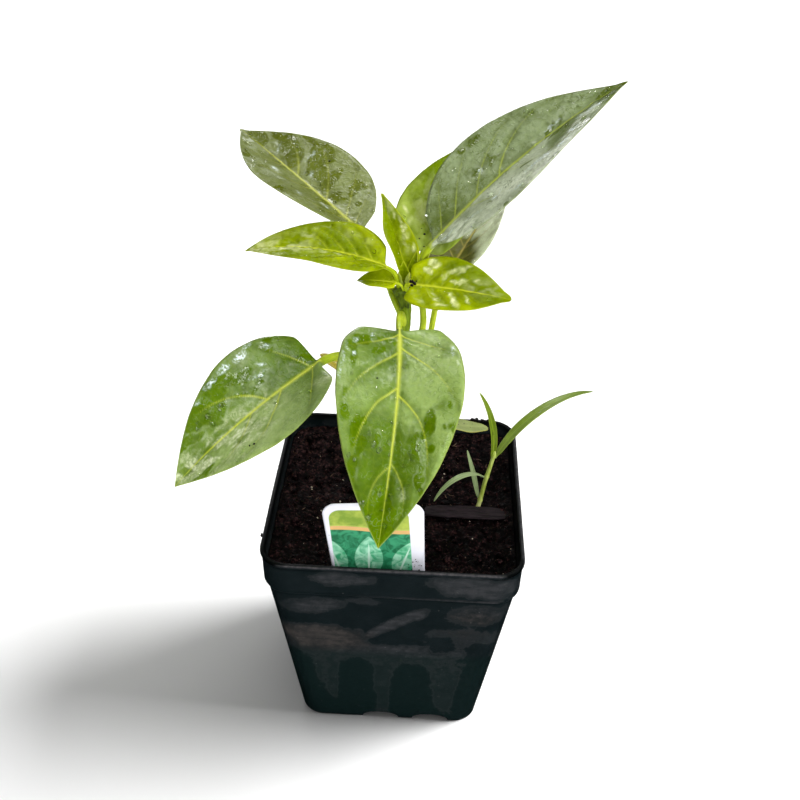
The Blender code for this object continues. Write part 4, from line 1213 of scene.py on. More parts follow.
def make_crown(materials):
    """The bud that ends the stem: a few folded leaflets round a tiny dome, with compost caught in it."""
    look = Look(finish="young", puff=0.1, cells=0.03, swell=0.1, wave=0.1, film=0.2)
    skins = blade_materials(materials, "young")
    for number, (name, place) in enumerate(CROWN_LEAFLETS.items()):
        blade = Blade(*place, turn=6, droop=18, fold=38)
        top, bottom, fields = blade_skin(blade, look, 0.35, 70 + number, FINE_STEP)
        place_piece(two_sided_skin(name, top, bottom, fields, skins), "young_leaf")

    heights = np.linspace(0.0, BUD_HEIGHT, 12)
    dome = [STEM_TOP + Vector((0, 0, h - 0.4)) for h in heights]
    radii = np.sqrt(np.clip(1.02 - (heights / BUD_HEIGHT) ** 2, 0.0, 1.0))
    fields = {"crown_dark": 0 * heights, "foot": 0 * heights}
    bud = tube_skin("growing_bud", dome, radii, [materials["stem"]], fields)
    place_piece(bud, "young_leaf", "growing_tip")

    heights = np.linspace(COLLAR_FOOT, COLLAR[-1][0], 30)
    above = heights - COLLAR_FOOT
    centres = [stem_point(z) + Vector((-0.18 * h, -0.05 * h, 0.0)) for z, h in zip(heights, above)]
    radii = np.interp(heights, *zip(*COLLAR))
    fields = {"crown_dark": heights**0, "foot": 0 * heights}
    collar = tube_skin("crown_collar", centres, radii, [materials["stem"]], fields, 24, 5, 0.12)
    place_piece(collar, "stem")

    # Compost stuck to the front of the stem, and then caught round the bud.
    rng = random.Random(81)
    points, faces = [], []
    for _ in range(26):
        z = rng.uniform(158.0, 169.0)
        turn = math.radians(rng.uniform(-150, -20))
        out = stem_radius(z) + (0.35 * max(z - 165.0, 0.0))
        spot = stem_point(z) + Vector((out * math.cos(turn), out * math.sin(turn), 0.0))
        size = rng.uniform(0.1, 0.26)
        lump(points, faces, spot, (size, size, size), random_turn(rng), rng.random())
    for _ in range(16):
        spot = STEM_TOP + Vector((rng.gauss(1.0, 1.0), rng.gauss(-1.4, 0.8), rng.uniform(0.2, 1.6)))
        size = rng.uniform(0.2, 0.55)
        lump(points, faces, spot, (size, size, size * 0.8), random_turn(rng), rng.random())
    place_piece(new_object("crown_compost", points, faces, [materials["speck"]]), "soil")


def make_grass(materials):
    """The seedling: a jointed culm in its sheath, and four folded blades with fine ribs."""
    knots = [GRASS_ROOT_END, GRASS_FOOT + Vector((-0.9, 0, -4)), GRASS_FOOT]
    knots += [GRASS_FOOT.lerp(GRASS_NODE, 0.5) + Vector((-0.3, 0, 0)), GRASS_NODE]
    knots += [GRASS_NODE + Vector((0.25, 0.2, 1.6))]
    heights = [k.z for k in knots]
    levels = np.linspace(heights[0], heights[-1], 90)
    centres = np.stack([np.interp(levels, heights, [k[i] for k in knots]) for i in range(3)], axis=1)
    for _ in range(10):
        centres[1:-1] = (centres[:-2] + 2 * centres[1:-1] + centres[2:]) / 4
    radii = np.interp(levels, heights, [0.25, 0.5, GRASS_RADIUS, 0.74, 0.66, 0.3])
    for knee in GRASS_KNEES:
        radii = radii * (1 + 0.22 * bell(levels - knee, 0.9))
    fields = {"foot": smooth(GRASS_FOOT.z + 5.0, GRASS_FOOT.z, levels)}
    culm = tube_skin("grass_culm_skin", centres, radii, [materials["grass_culm"]], fields, 20, 4, 0.05)
    place_piece(culm, "grass", "grass_culm")

    for number, (node, blade) in enumerate(GRASS_BLADES.items()):
        look = GRASS_LOOKS[node]
        top, bottom, fields = blade_skin(blade, look, GRASS_BASE_RADIUS, 90 + number, FINE_STEP)
        skins = blade_materials(materials, look.finish)
        place_piece(two_sided_skin(node + "_skin", top, bottom, fields, skins), "grass", node)
        drops = random.Random(number)
        scatter_drops(node + "_drops", top, blade, look, materials["water"], "grass", drops)


def grass_culm_material():
    r = Recipe("grass_culm_skin")
    place = r.place(stretch=(1.0, 1.0, 0.15))
    streaks = r.noise(0.5, place, detail=3.0)
    colour = r.shade(streaks, 0.3, 0.7, (0.27, 0.36, 0.03), (0.49, 0.57, 0.15))
    colour = r.mix(r.field("foot"), colour, (0.72, 0.74, 0.30))
    return r.finish(colour, r.ramp(streaks, 0.3, 0.7, 0.4, 0.55), r.bump(streaks, 0.08))


# Pot ------------------------------------------------------------------------------------------

# Dried stains on the front wall, soft ovals: (across, height, half width, half height, tilt, strength).
POT_STAINS = (
    (-16.5, 83.2, 11.5, 3.0, -3, 0.8), (29.0, 82.0, 17.0, 5.0, -4, 1.0), (-26.5, 68.0, 11.5, 4.4, 6, 0.7),
    (-9.0, 71.5, 7.0, 1.6, 3, 0.45), (-24.0, 50.5, 16.0, 7.0, -3, 0.9), (2.0, 60.0, 14.5, 2.5, 39, 1.0),
    (9.0, 65.0, 5.0, 2.6, 25, 0.8), (30.0, 66.5, 10.5, 6.0, 4, 0.6), (26.0, 53.0, 14.0, 7.0, 0, 0.4),
    (-3.0, 43.5, 40.0, 5.0, 0, 0.65), (-1.0, 30.0, 36.0, 16.0, 0, 0.42), (-19.5, 24.0, 3.6, 13.5, -4, 0.6),
    (-2.0, 20.0, 4.0, 18.5, 2, 0.55), (21.0, 22.0, 4.8, 17.5, 3, 0.55),
)
# Places that stayed clean within them: arches over the foot, and a patch above.
POT_CLEAN_PLACES = (
    (-32.4, 14.0, 6.4, 25.0, 0, 1.0), (-12.0, 14.0, 7.4, 26.0, 0, 1.0), (8.3, 12.0, 8.2, 25.5, 0, 1.0),
    (31.6, 13.0, 6.4, 25.5, 0, 1.0), (18.5, 48.5, 5.0, 5.0, 10, 0.8), (31.5, 44.5, 4.6, 6.5, 0, 0.8),
    (0.0, 49.0, 7.0, 2.6, 8, 0.5),
)
# Places where the dried film is browner.
POT_WARM_PLACES = ((-26.0, 50.0, 22.0, 9.0, 0, 1.0), (28.0, 61.0, 14.0, 8.0, 0, 0.8))
POT_SIDE_STEPS = 64
POT_CORNER_STEPS = 8
POT_LOW_PART = (46.0, 38.0)  # heights between which the wall turns darker and greener downwards
POT_CREASE = 38  # edges sharper than this show as edges


def body_half(z):
    """Half width of the tapered body at a height, outside."""
    return FOOT_HALF + (SHOULDER_HALF - FOOT_HALF) * z / (POT_HEIGHT - BAND_DEPTH)


def rounded_square(half, corner, z):
    """A ring of points round a square with round corners, with points along its sides too."""
    straight = half - corner
    side = [(half, s * straight) for s in np.linspace(-1, 1, POT_SIDE_STEPS + 1)]
    arc = np.radians(np.arange(1, POT_CORNER_STEPS) * 90 / POT_CORNER_STEPS)
    side += [(straight + corner * math.cos(a), straight + corner * math.sin(a)) for a in arc]
    ring = []
    for quarter in range(4):
        spin = np.linalg.matrix_power(np.array(((0, -1), (1, 0))), quarter)
        ring.extend((*(spin @ np.array(p)), z) for p in side)
    return np.array(ring, float)


def pot_profile():
    """(half width, corner radius, height) up the outside, over the lip and down the inside."""
    shoulder = POT_HEIGHT - BAND_DEPTH
    rings = [(FOOT_HALF - 1.0, FOOT_CORNER - 1.0, 0.0), (FOOT_HALF - 0.3, FOOT_CORNER - 0.3, 0.25)]
    rings += [(body_half(z), FOOT_CORNER, z) for z in np.linspace(1.0, shoulder, 52)]
    rings += [
        (SHOULDER_HALF + 0.4, FOOT_CORNER + 0.3, shoulder + 0.05),
        (RIM_HALF - 1.1, RIM_CORNER - 0.7, shoulder + 0.2),
        (RIM_HALF - 0.8, RIM_CORNER - 0.4, shoulder + 0.8),
    ]
    for z in np.linspace(shoulder + 1.8, POT_HEIGHT - 2.0, 9):
        rings.append((RIM_HALF - 0.75 + 0.3 * (z - shoulder) / BAND_DEPTH, RIM_CORNER, z))
    # Over the lip: how far in, how much sharper the corner and how far below the top.
    lip = (
        (0.25, 0, 1.35), (0, 0, 1.0), (0, 0, 0.45), (0.15, 0, 0.12), (0.45, 0.3, 0), (1.2, 1.0, 0),
        (1.5, 1.2, 0.15), (1.7, WALL, 0.6),
    )
    rings += [(RIM_HALF - a, RIM_CORNER - b, POT_HEIGHT - c) for a, b, c in lip]
    for z in np.linspace(POT_HEIGHT - 2.0, shoulder + 2.0, 7):
        rings.append((RIM_HALF - WALL - 0.9, RIM_CORNER - WALL, z))
    rings += [(SHOULDER_HALF - WALL, FOOT_CORNER - WALL, shoulder)]
    for z in np.linspace(shoulder * 0.8, WALL, 5):
        rings.append((body_half(z) - WALL, FOOT_CORNER - WALL, z))
    return rings


def ovals(x, z, places, start, end, squareness=2.0):
    """The strongest of some ovals at each place, each fading from start to end of its size."""
    total = np.zeros(x.shape)
    for across, height, wide, high, tilt, strength in places:
        along, over = turned(x - across, z - height, tilt)
        reach = np.abs(along / wide) ** squareness + np.abs(over / high) ** squareness
        total = np.maximum(total, strength * smooth(end, start, reach ** (1 / squareness)))
    return total


def stain_and_highlight_strength(points):
    """How stained the pot is at each point: placed marks in front, loose ones on the other walls, and a
    painted highlight on the front right corner.
    """
    x, y, z = points[..., 0], points[..., 1], points[..., 2]
    wall = np.abs(y) > np.abs(x)
    front = (y < 0) & (np.abs(y) > np.abs(x) - 4)
    shift = 1.6 * unevenness(points, 5.0, 77, 2)
    marks = ovals(x + shift, z + shift, POT_STAINS, 0.6, 1.25)
    clean = ovals(x + 0.5 * shift, z + 0.4 * shift, POT_CLEAN_PLACES, 0.82, 1.06, 3.4)
    # The other walls have blotches above and drips below, and the front right corner gets a painted
    # highlight.
    loose = 0.55 * unevenness(points * np.array((1.0, 1.0, 0.9)), 17.0, 5, 3) + 0.3
    across = np.where(wall, x, y)
    drips = smooth(0.2, 0.7, np.cos(across / 3.2 + 2.0 * np.sin(across / 9.0)))
    loose = np.maximum(loose * smooth(30.0, 44.0, z), drips * smooth(44.0, 34.0, z) * 0.6)
    corner = smooth(2.0, 7.0, x - y - 2 * body_half(z) + FOOT_CORNER)
    corner = 0.75 * corner * smooth(8.0, 2.0, np.abs(x + y))
    return np.clip(np.maximum(np.where(front, marks * (1 - clean), loose), corner), 0.0, 1.0)


def pot_material():
    """Black-green plastic, dulled by dried splashes, with a paler worn lip, painted highlights on the
    band's lower edge and the front right corner, and painted shade inside.
    """
    r = Recipe("pot_plastic", Specular_IOR_Level=0.06)
    place = r.place()
    broad = r.noise(9.0, place, detail=4.0, rough=0.6)
    fine = r.noise(1.6, place, detail=3.0)
    grain = r.noise(0.35, place, detail=2.0)

    # Clean plastic.
    colour = r.shade(broad, 0.3, 0.7, (0.0044, 0.0084, 0.0096), (0.0064, 0.0108, 0.0124))
    colour = r.shade(r.field("low"), 0.0, 1.0, colour, (0.0046, 0.0112, 0.0112))

    # The dried film: torn at its borders, streaked, and a little paler along them.
    torn = r.noise(3.2, place, detail=6.0, rough=0.7)
    streaks = r.noise(2.0, r.place(stretch=(0.25, 0.25, 1.0)), detail=5.0, rough=0.65)
    ragged = r.maths("ADD", r.field("stain_and_highlight"), r.ramp(torn, 0.25, 0.75, -0.22, 0.18))
    film = r.times(r.ramp(ragged, 0.1, 0.95), r.ramp(torn, 0.3, 0.7, 0.7, 1.1))
    film = r.times(film, r.ramp(streaks, 0.3, 0.7, 0.5, 1.2))
    edge = r.times(r.ramp(ragged, 0.16, 0.26), r.ramp(ragged, 0.46, 0.3))
    dust = r.mix(r.field("warm"), (0.030, 0.032, 0.035), (0.038, 0.034, 0.032))
    dust = r.mix(r.field("low"), dust, (0.0150, 0.0225, 0.0230))
    specks = r.ramp(r.noise(0.8, place, detail=4.0, rough=0.7), 0.6, 0.76, 0.0, 0.6)
    dust = r.mix(specks, dust, (0.080, 0.076, 0.072))
    colour = r.mix(film, colour, dust)
    colour = r.mix(r.times(edge, 0.25), colour, (0.036, 0.038, 0.040))

    # Pale flecks, painted shade on the inside wall, and the worn lip with a painted highlight along the
    # band's lower edge.
    flecks = r.ramp(r.cells(2.3, place), 0.12, 0.05)
    flecks = r.times(flecks, r.ramp(fine, 0.55, 0.65))
    colour = r.mix(r.times(flecks, 0.6), colour, (0.10, 0.10, 0.10))
    colour = r.mix(r.field("inner_shade"), colour, (0.0012, 0.0018, 0.0019))
    wear_and_highlight = r.times(r.field("lip"), r.ramp(fine, 0.25, 0.75, 0.3, 1.0))
    colour = r.mix(wear_and_highlight, colour, (0.085, 0.078, 0.084))

    roughness = r.maths("ADD", r.ramp(film, 0.0, 1.0, 0.36, 0.62), r.ramp(grain, 0.3, 0.7, -0.03, 0.05))
    return r.finish(colour, roughness, r.bump(grain, 0.03, r.bump(broad, 0.12)))


def apply_modifiers(obj):
    """Makes the object's mesh what its modifiers give, and clears them."""
    graph = bpy.context.evaluated_depsgraph_get()
    mesh = bpy.data.meshes.new_from_object(obj.evaluated_get(graph))
    obj.modifiers.clear()
    obj.data = mesh


def prism(name, outline, near, far):
    """A closed bar along Y with a convex outline of (x, z)."""
    return skin(name, np.array([[(x, y, z) for x, z in outline] for y in (near, far)]), [])


def make_pot(materials):
    """The pot: its wall sways a little, and its masks say where it is stained, worn or greener, and where
    light or shade is painted.
    """
    rings = np.array([rounded_square(*ring) for ring in pot_profile()])
    sway = unevenness(rings * np.array((1.0, 1.0, 0.4)), 34.0, 21)
    rings = rings + rings * np.array((1.0, 1.0, 0.0)) / RIM_HALF * (0.35 * sway)[..., None]
    x, z = rings[..., 0], rings[..., 2]
    reach = np.max(np.abs(rings[..., :2]), axis=-1)
    lip = smooth(0.55, 0.1, np.hypot(reach - RIM_HALF + 0.25, z - POT_HEIGHT + 0.1))
    # A painted highlight along the band's lower edge, stronger to the right.
    ledge_highlight = bell(z - POT_HEIGHT + BAND_DEPTH - 0.7, 0.45) * smooth(43.6, 43.9, reach)
    fields = {
        "stain_and_highlight": stain_and_highlight_strength(rings),
        "warm": ovals(x, z, POT_WARM_PLACES, 0.6, 1.2),
        "low": smooth(*POT_LOW_PART, z),
        "lip": np.maximum(lip, 0.45 * ledge_highlight * smooth(-25.0, 30.0, x)),
        # Painted shade on the inside wall, just below the lip.
        "inner_shade": smooth(0.5, 0.8, RIM_HALF - reach) * smooth(POT_HEIGHT - 3.0, POT_HEIGHT - 0.8, z),
    }
    pot = skin("nursery_pot_skin", rings, [materials["pot"]], fields)

    # Two drain slots with round tops, cut through each wall at the foot.
    half = DRAIN_SLOT_WIDTH / 2
    bows = [math.pi * k / 12 for k in range(13)]
    arch = [(half * math.cos(bow), DRAIN_SLOT_HEIGHT * math.sin(bow) ** 0.7) for bow in bows]
    outline = [(half, -2.0), *arch, (-half, -2.0)]
    for side in range(4):
        for offset in DRAIN_SLOT_OFFSETS:
            bar = [(x + offset, z) for x, z in outline]
            cutter = prism("slot_cutter", bar, -FOOT_HALF - 3.0, -FOOT_HALF + DRAIN_SLOT_DEPTH)
            cutter.rotation_euler = (0, 0, math.radians(90 * side))
            bpy.context.view_layer.update()
            cut = pot.modifiers.new("slot", "BOOLEAN")
            cut.operation, cut.object = "DIFFERENCE", cutter
            apply_modifiers(pot)
            bpy.data.objects.remove(cutter)
    pot.data.shade_smooth()
    pot.data.set_sharp_from_angle(angle=math.radians(POT_CREASE))
    place_piece(pot, "pot", "nursery_pot")


# Soil and what lies on it ---------------------------------------------------------------------

SOIL_HALF = RIM_HALF - WALL - 1.2
SOIL_FLOOR = WALL + 0.4
SOIL_GRID = 171  # points along each side of its top
FIBRE_COUNT = 34
# Crumbs on the rim in little heaps: where, and how many.
RIM_HEAPS = ((31.0, 44.4, 88.0, 9), (-45.0, -30.0, 87.8, 4))
# Loose lumps on the compost: name, count, smallest and largest radius, flatness and material.
LOOSE_LUMPS = (
    ("compost_crumbs", 620, (0.35, 1.15), 0.7, "soil"),
    ("compost_clods", 60, (1.2, 2.3), 0.65, "soil"),
    ("compost_grit", 46, (0.14, 0.42), 0.8, "grit"),
)


def soil_relief(x, y):
    """Height of the compost's crumbly top."""
    base = 0.7 * (0.5 * np.sin(x / 7.0 + 0.6) * np.cos(y / 9.0) + 0.5 * np.sin(y / 6.0 - x / 11.0))
    flat = level_points(x, y)
    clods = unevenness(flat, 6.5, 31, 2)
    crumbs = np.abs(unevenness(flat, 2.6, 41, 2))
    grit = unevenness(flat, 0.9, 51, 2)
    calm = smooth(1.0, 4.0, np.hypot(x, y))
    sides = np.maximum(0.9 * smooth(24.0, 41.0, -x), 0.7 * smooth(36.0, 41.5, x))
    heap = 3.6 * np.maximum(smooth(12.0, 40.0, y), sides)
    return SOIL_LEVEL + base + heap + calm * (0.9 * clods - 1.1 * crumbs + 0.35 + 0.3 * grit)


def make_soil(materials):
    """The compost: a crumbly top over a plain body that follows the pot's walls down to its floor."""
    # The top: a square grid, with its corners drawn in to the pot's round ones.
    corner, count = RIM_CORNER - WALL, SOIL_GRID
    line = np.linspace(-SOIL_HALF, SOIL_HALF, count)
    a, b = np.meshgrid(line, line, indexing="ij")
    past = np.stack([np.abs(a), np.abs(b)], axis=-1) - (SOIL_HALF - corner)
    inside = np.clip(past, 0.0, None)
    length = np.maximum(np.linalg.norm(inside, axis=-1), 1e-9)
    shrink = np.where(np.min(past, axis=-1) > 0, np.max(inside, axis=-1) / length, 1.0)
    x = np.sign(a) * (np.minimum(np.abs(a), SOIL_HALF - corner) + inside[..., 0] * shrink)
    y = np.sign(b) * (np.minimum(np.abs(b), SOIL_HALF - corner) + inside[..., 1] * shrink)
    top = np.stack([x, y, soil_relief(x, y)], axis=-1).reshape(-1, 3)
    faces = []
    for i in range(count - 1):
        for low in range(i * count, (i + 1) * count - 1):
            faces.append((low, low + 1, low + count + 1, low + count))

    # The body: two more rings below the grid's border, and a middle point at the floor.
    border = [*range(count), *((j + 1) * count - 1 for j in range(1, count))]
    border += [*range(count * count - 2, (count - 1) * count - 1, -1)]
    border += [j * count for j in range(count - 2, 0, -1)]
    points, ring, size, total = [top], border, len(border), len(top)
    foot_share = (FOOT_HALF - WALL - 0.3) / SOIL_HALF
    for level, share in ((POT_HEIGHT - BAND_DEPTH, 0.97), (SOIL_FLOOR, foot_share)):
        points.append(top[border] * np.array((share, share, 0.0)) + np.array((0.0, 0.0, level)))
        below = [total + k for k in range(size)]
        faces += [(ring[k], ring[(k + 1) % size], below[(k + 1) % size], below[k]) for k in range(size)]
        ring, total = below, total + size
    points = np.vstack([*points, [[0.0, 0.0, SOIL_FLOOR]]])
    faces += fan(ring[0], size, total)

    # Painted light: the compost brighter towards the back left and darker towards the front right.
    dry = smooth(-36.0, 60.0, points[:, 1] - 0.5 * points[:, 0])
    soil = new_object("compost", points, faces, [materials["soil"]], fields={"dry": dry})
    place_piece(soil, "soil", "potting_soil")
    scatter_crumbs(materials)


def scatter_crumbs(materials):
    """What lies loose on the compost: crumbs, clods, pale grit and fibres, and crumbs on the pot's rim."""
    rng = random.Random(17)
    for name, count, (small, large), flat, material in LOOSE_LUMPS:
        points, faces = [], []
        for _ in range(count):
            x, y = (rng.uniform(-SOIL_HALF + large, SOIL_HALF - large) for _ in range(2))
            if min(abs(x), abs(y)) > SOIL_HALF - 6.0:
                continue
            size = small + (large - small) * rng.random() ** 2
            spot = (x, y, float(soil_relief(np.array(x), np.array(y))) + 0.25 * size)
            radii = (size, size * rng.uniform(0.6, 1.0), size * flat)
            lump(points, faces, spot, radii, random_turn(rng), rng.random() * 9, 0.35)
        # The loose lumps take a middle share of that painted light.
        dry = {"dry": np.full(len(points), 0.6)}
        place_piece(new_object(name, points, faces, [materials[material]], fields=dry), "soil")
    points, faces = [], []
    for x, y, z, count in RIM_HEAPS:
        for _ in range(count):
            along = rng.gauss(0, 0.2 * count)
            spot = (x + along * (x > 0), y + along * (x < 0), z + rng.uniform(-0.3, 0.5))
            size = rng.uniform(0.25, 0.8)
            lump(points, faces, spot, (size, size, size * 0.8), random_turn(rng), rng.random() * 9, 0.35)
    place_piece(new_object("rim_compost", points, faces, [materials["speck"]]), "soil")
    points, faces = [], []
    for _ in range(FIBRE_COUNT):
        x, y = (rng.uniform(-SOIL_HALF + 6, SOIL_HALF - 6) for _ in range(2))
        z = float(soil_relief(np.array(x), np.array(y))) + 0.5
        turn, length = rng.uniform(0, 360), rng.uniform(1.5, 5.0)
        fibre(points, faces, (x, y, z), turn, length, rng)
    place_piece(new_object("compost_fibres", points, faces, [materials["fibre"]]), "soil")


def fibre(points, faces, middle, heading, length, rng):
    """Adds one bent fibre, a thin closed tube that lies nearly level."""
    around, knots = 5, 6
    way = np.array(ways(heading, rng.uniform(-10, 14)))
    side = np.array(ways(heading + 90, 0.0))
    bow = rng.uniform(-0.25, 0.25) * length
    radius = rng.uniform(0.09, 0.2)
    first = len(points)
    for k in range(knots):
        t = 2 * k / (knots - 1) - 1
        centre = np.array(middle) + way * (t * length / 2) + side * (bow * (1 - t * t))
        wide = radius * (1 - 0.6 * abs(t) ** 3)
        for j in range(around):
            turn = 2 * math.pi * j / around
            lift = np.array((0, 0, wide * math.sin(turn)))
            points.append((centre + side * wide * math.cos(turn) + lift).tolist())
    faces.extend(ring_faces(knots, around, first))
    faces.append(tuple(range(first, first + around)))
    faces.append(tuple(range(first + knots * around - 1, first + (knots - 1) * around - 1, -1)))


def soil_material():
    r = Recipe("compost", Specular_IOR_Level=0.06)
    place = r.place()
    broad = r.noise(6.0, place, detail=4.0)
    fine = r.noise(0.9, place, detail=5.0, rough=0.7)
    clods = r.noise(2.6, place, detail=3.0, rough=0.6)
    lit = r.maths("ADD", fine, r.ramp(clods, 0.3, 0.7, -0.10, 0.10))
    # Painted light from the dry mask: lighter to the back left, darker to the front right.
    lit = r.maths("ADD", lit, r.ramp(r.field("dry"), 0.0, 1.0, -0.06, 0.03))
    colour = r.shade(lit, 0.44, 0.58, (0.0001, 0.0001, 0.0001), (0.0085, 0.0034, 0.0038))
    colour = r.shade(lit, 0.56, 0.70, colour, (0.050, 0.023, 0.022))
    colour = r.mix(r.ramp(broad, 0.4, 0.7, 0.0, 0.15), colour, (0.0125, 0.0052, 0.0060))
    flecks = r.ramp(r.cells(1.5, place), 0.18, 0.08)
    flecks = r.times(flecks, r.ramp(broad, 0.45, 0.6))
    colour = r.mix(flecks, colour, (0.085, 0.055, 0.045))
    wet = r.ramp(r.noise(2.2, place, detail=2.0), 0.45, 0.65)
    return r.finish(colour, r.maths("SUBTRACT", 0.85, r.times(wet, 0.4)), r.bump(fine, 0.35))


def simple_grain(name, dark, light, size, roughness, depth, stretch=(1.0, 1.0, 1.0), **constants):
    """A material that wanders between two colours, with a bump of the same grain."""
    r = Recipe(name, **constants)
    grain = r.noise(size, r.place(stretch), detail=4.0, rough=0.6)
    rough = r.ramp(grain, 0.3, 0.7, roughness - 0.06, roughness + 0.08)
    return r.finish(r.shade(grain, 0.3, 0.7, dark, light), rough, r.bump(grain, depth))


def make_bark(materials):
    """The dark strip that lies on the compost: fibrous, thin at its ends and slightly dished."""
    u, v = np.meshgrid(np.linspace(0, 1, 150), np.linspace(-1, 1, 41), indexing="ij")
    x = (u - 0.5) * BARK_LENGTH
    half = BARK_WIDTH / 2 * np.interp(u, *zip(*BARK_OUTLINE))
    half = half * (1 + 0.05 * unevenness(level_points(x, np.sign(v)), 2.4, 61, 2))
    y = v * half
    fibres = unevenness(level_points(x * 0.22, y), 1.1, 63, 3)
    sag = 0.25 * np.cos(x / 9.0) + 0.2 * v**2
    thick = 0.5 * np.sqrt(np.clip(1 - np.abs(v) ** 6, 0, 1))
    z0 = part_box("bark_strip")[0].z / MM + 0.5
    shift = np.array((*BARK_PLACE, 0.0))
    top = np.stack([x, y, z0 + sag + thick + 0.28 * fibres * smooth(1.0, 0.8, np.abs(v))], axis=-1)
    bottom = np.stack([x, y, z0 + sag - thick], axis=-1)
    bark = two_sided_skin("bark_strip_skin", top + shift, bottom + shift, {}, [materials["bark"]] * 2)
    place_piece(bark, "bark", "bark_strip")


# Label ----------------------------------------------------------------------------------------


def label_half(y, top, tip):
    """The tag's half width at a height in its own plane."""
    half = LABEL_WIDTH / 2
    heights = (tip, tip + 3.0, -32.0, -12.0, 0.0, top - LABEL_SHOULDER)
    widths = (half * 0.08, half * 0.2, half * 0.35, half - 2.0, half - 1.0, half)
    body = np.interp(y, heights, widths)
    over = np.clip(y - (top - LABEL_SHOULDER), 0.0, LABEL_SHOULDER)
    return body - LABEL_SHOULDER + np.sqrt(LABEL_SHOULDER**2 - over**2)


def inside_leaf(x, y, foot, length, width, tilt):
    """How far inside a pointed leaf shape each place is: positive inside."""
    along, over = turned(y - foot[1], x - foot[0], tilt)
    along = along / length
    half = width / 2 * np.sin(math.pi * np.clip(along, 0, 1)) ** 0.8
    return np.where((along > 0) & (along < 1), half - np.abs(over), -2.0)


# Leaves printed on the tag: foot of each, its length, width and tilt.
PRINTED_LEAVES = (
    ((-12.0, 1.0), 19.0, 8.5, -14), ((-3.5, -1.0), 21.0, 9.5, 4), ((6.0, 0.0), 18.0, 8.0, 20),
    ((-8.0, -9.0), 12.0, 6.0, 30), ((3.0, -10.0), 12.0, 6.0, -22),
)


def make_label(materials):
    """The tag: a thin white strip, rounded above and pointed below, with a plain garden print."""
    # The tag in its own plane: x across, and y up from the soil. It is bowed a little.
    top, tip = LABEL_TOP - SOIL_LEVEL, LABEL_TIP - SOIL_LEVEL
    heights = np.concatenate([np.linspace(tip, 0, 60)[:-1], np.linspace(0, top, 96)])
    y, v = np.meshgrid(heights, np.linspace(-1, 1, 81), indexing="ij")
    x = v * label_half(y, top, tip)
    bow = 0.0015 * x**2
    round_edge = np.sqrt(np.clip((1 - np.abs(v)) / 0.02, 0, 1)) * np.sqrt(np.clip((top - y) / 0.3, 0.02, 1))
    front, back = (np.stack([x, y, s * LABEL_THICKNESS / 2 * round_edge - bow], axis=-1) for s in (1, -1))

    # The print: how far inside its panel, its upper field, its leaves and their ribs each place is.
    left, right = -LABEL_WIDTH / 2 + PRINT_MARGINS[0], LABEL_WIDTH / 2 - PRINT_MARGINS[1]
    lid = top - PRINT_MARGINS[2]
    middle, reach = (left + right) / 2, (right - left) / 2
    dx = np.abs(x - middle) - (reach - PRINT_CORNER)
    dy = np.where(y > 0, y - (lid - PRINT_CORNER), -PRINT_CORNER)
    outside = np.hypot(np.clip(dx, 0, None), np.clip(dy, 0, None)) + np.minimum(np.maximum(dx, dy), 0)
    leaves = [inside_leaf(x, y, *leaf) for leaf in PRINTED_LEAVES]
    ribs = [inside_leaf(x, y, foot, length * 0.92, 0.7, tilt) for foot, length, _, tilt in PRINTED_LEAVES]
    fields = {
        "panel": PRINT_CORNER - outside,
        "sky": y - (top - PRINT_FIELD - 1.2 * np.sin(x / 7.0)),
        "leaves": np.max(leaves, axis=0),
        "ribs": np.max(ribs, axis=0),
    }
    fields = {name: np.clip(values, -3.0, 3.0) for name, values in fields.items()}
    skins = [materials["label"], materials["label_back"]]
    label = two_sided_skin("plant_label_skin", front, back, fields, skins)

    # Compost splashed on its lower right.
    rng = random.Random(44)
    points, faces = [], []
    for _ in range(14):
        size = rng.uniform(0.12, 0.3)
        spot = Vector((rng.uniform(10.0, 15.5), rng.uniform(1.0, 9.0), 0.25))
        lump(points, faces, spot, (size, size, size * 0.6), random_turn(rng), rng.random())
    specks = new_object("label_specks", points, faces, [materials["speck"]])
    for piece in (label, specks):
        piece.location = Vector((*LABEL_PLACE, SOIL_LEVEL)) * MM
        piece.rotation_euler = (math.radians(90 + LABEL_PITCH), math.radians(-LABEL_LEAN), 0.0)
    place_piece(label, "label", "plant_label")
    place_piece(specks, "soil")


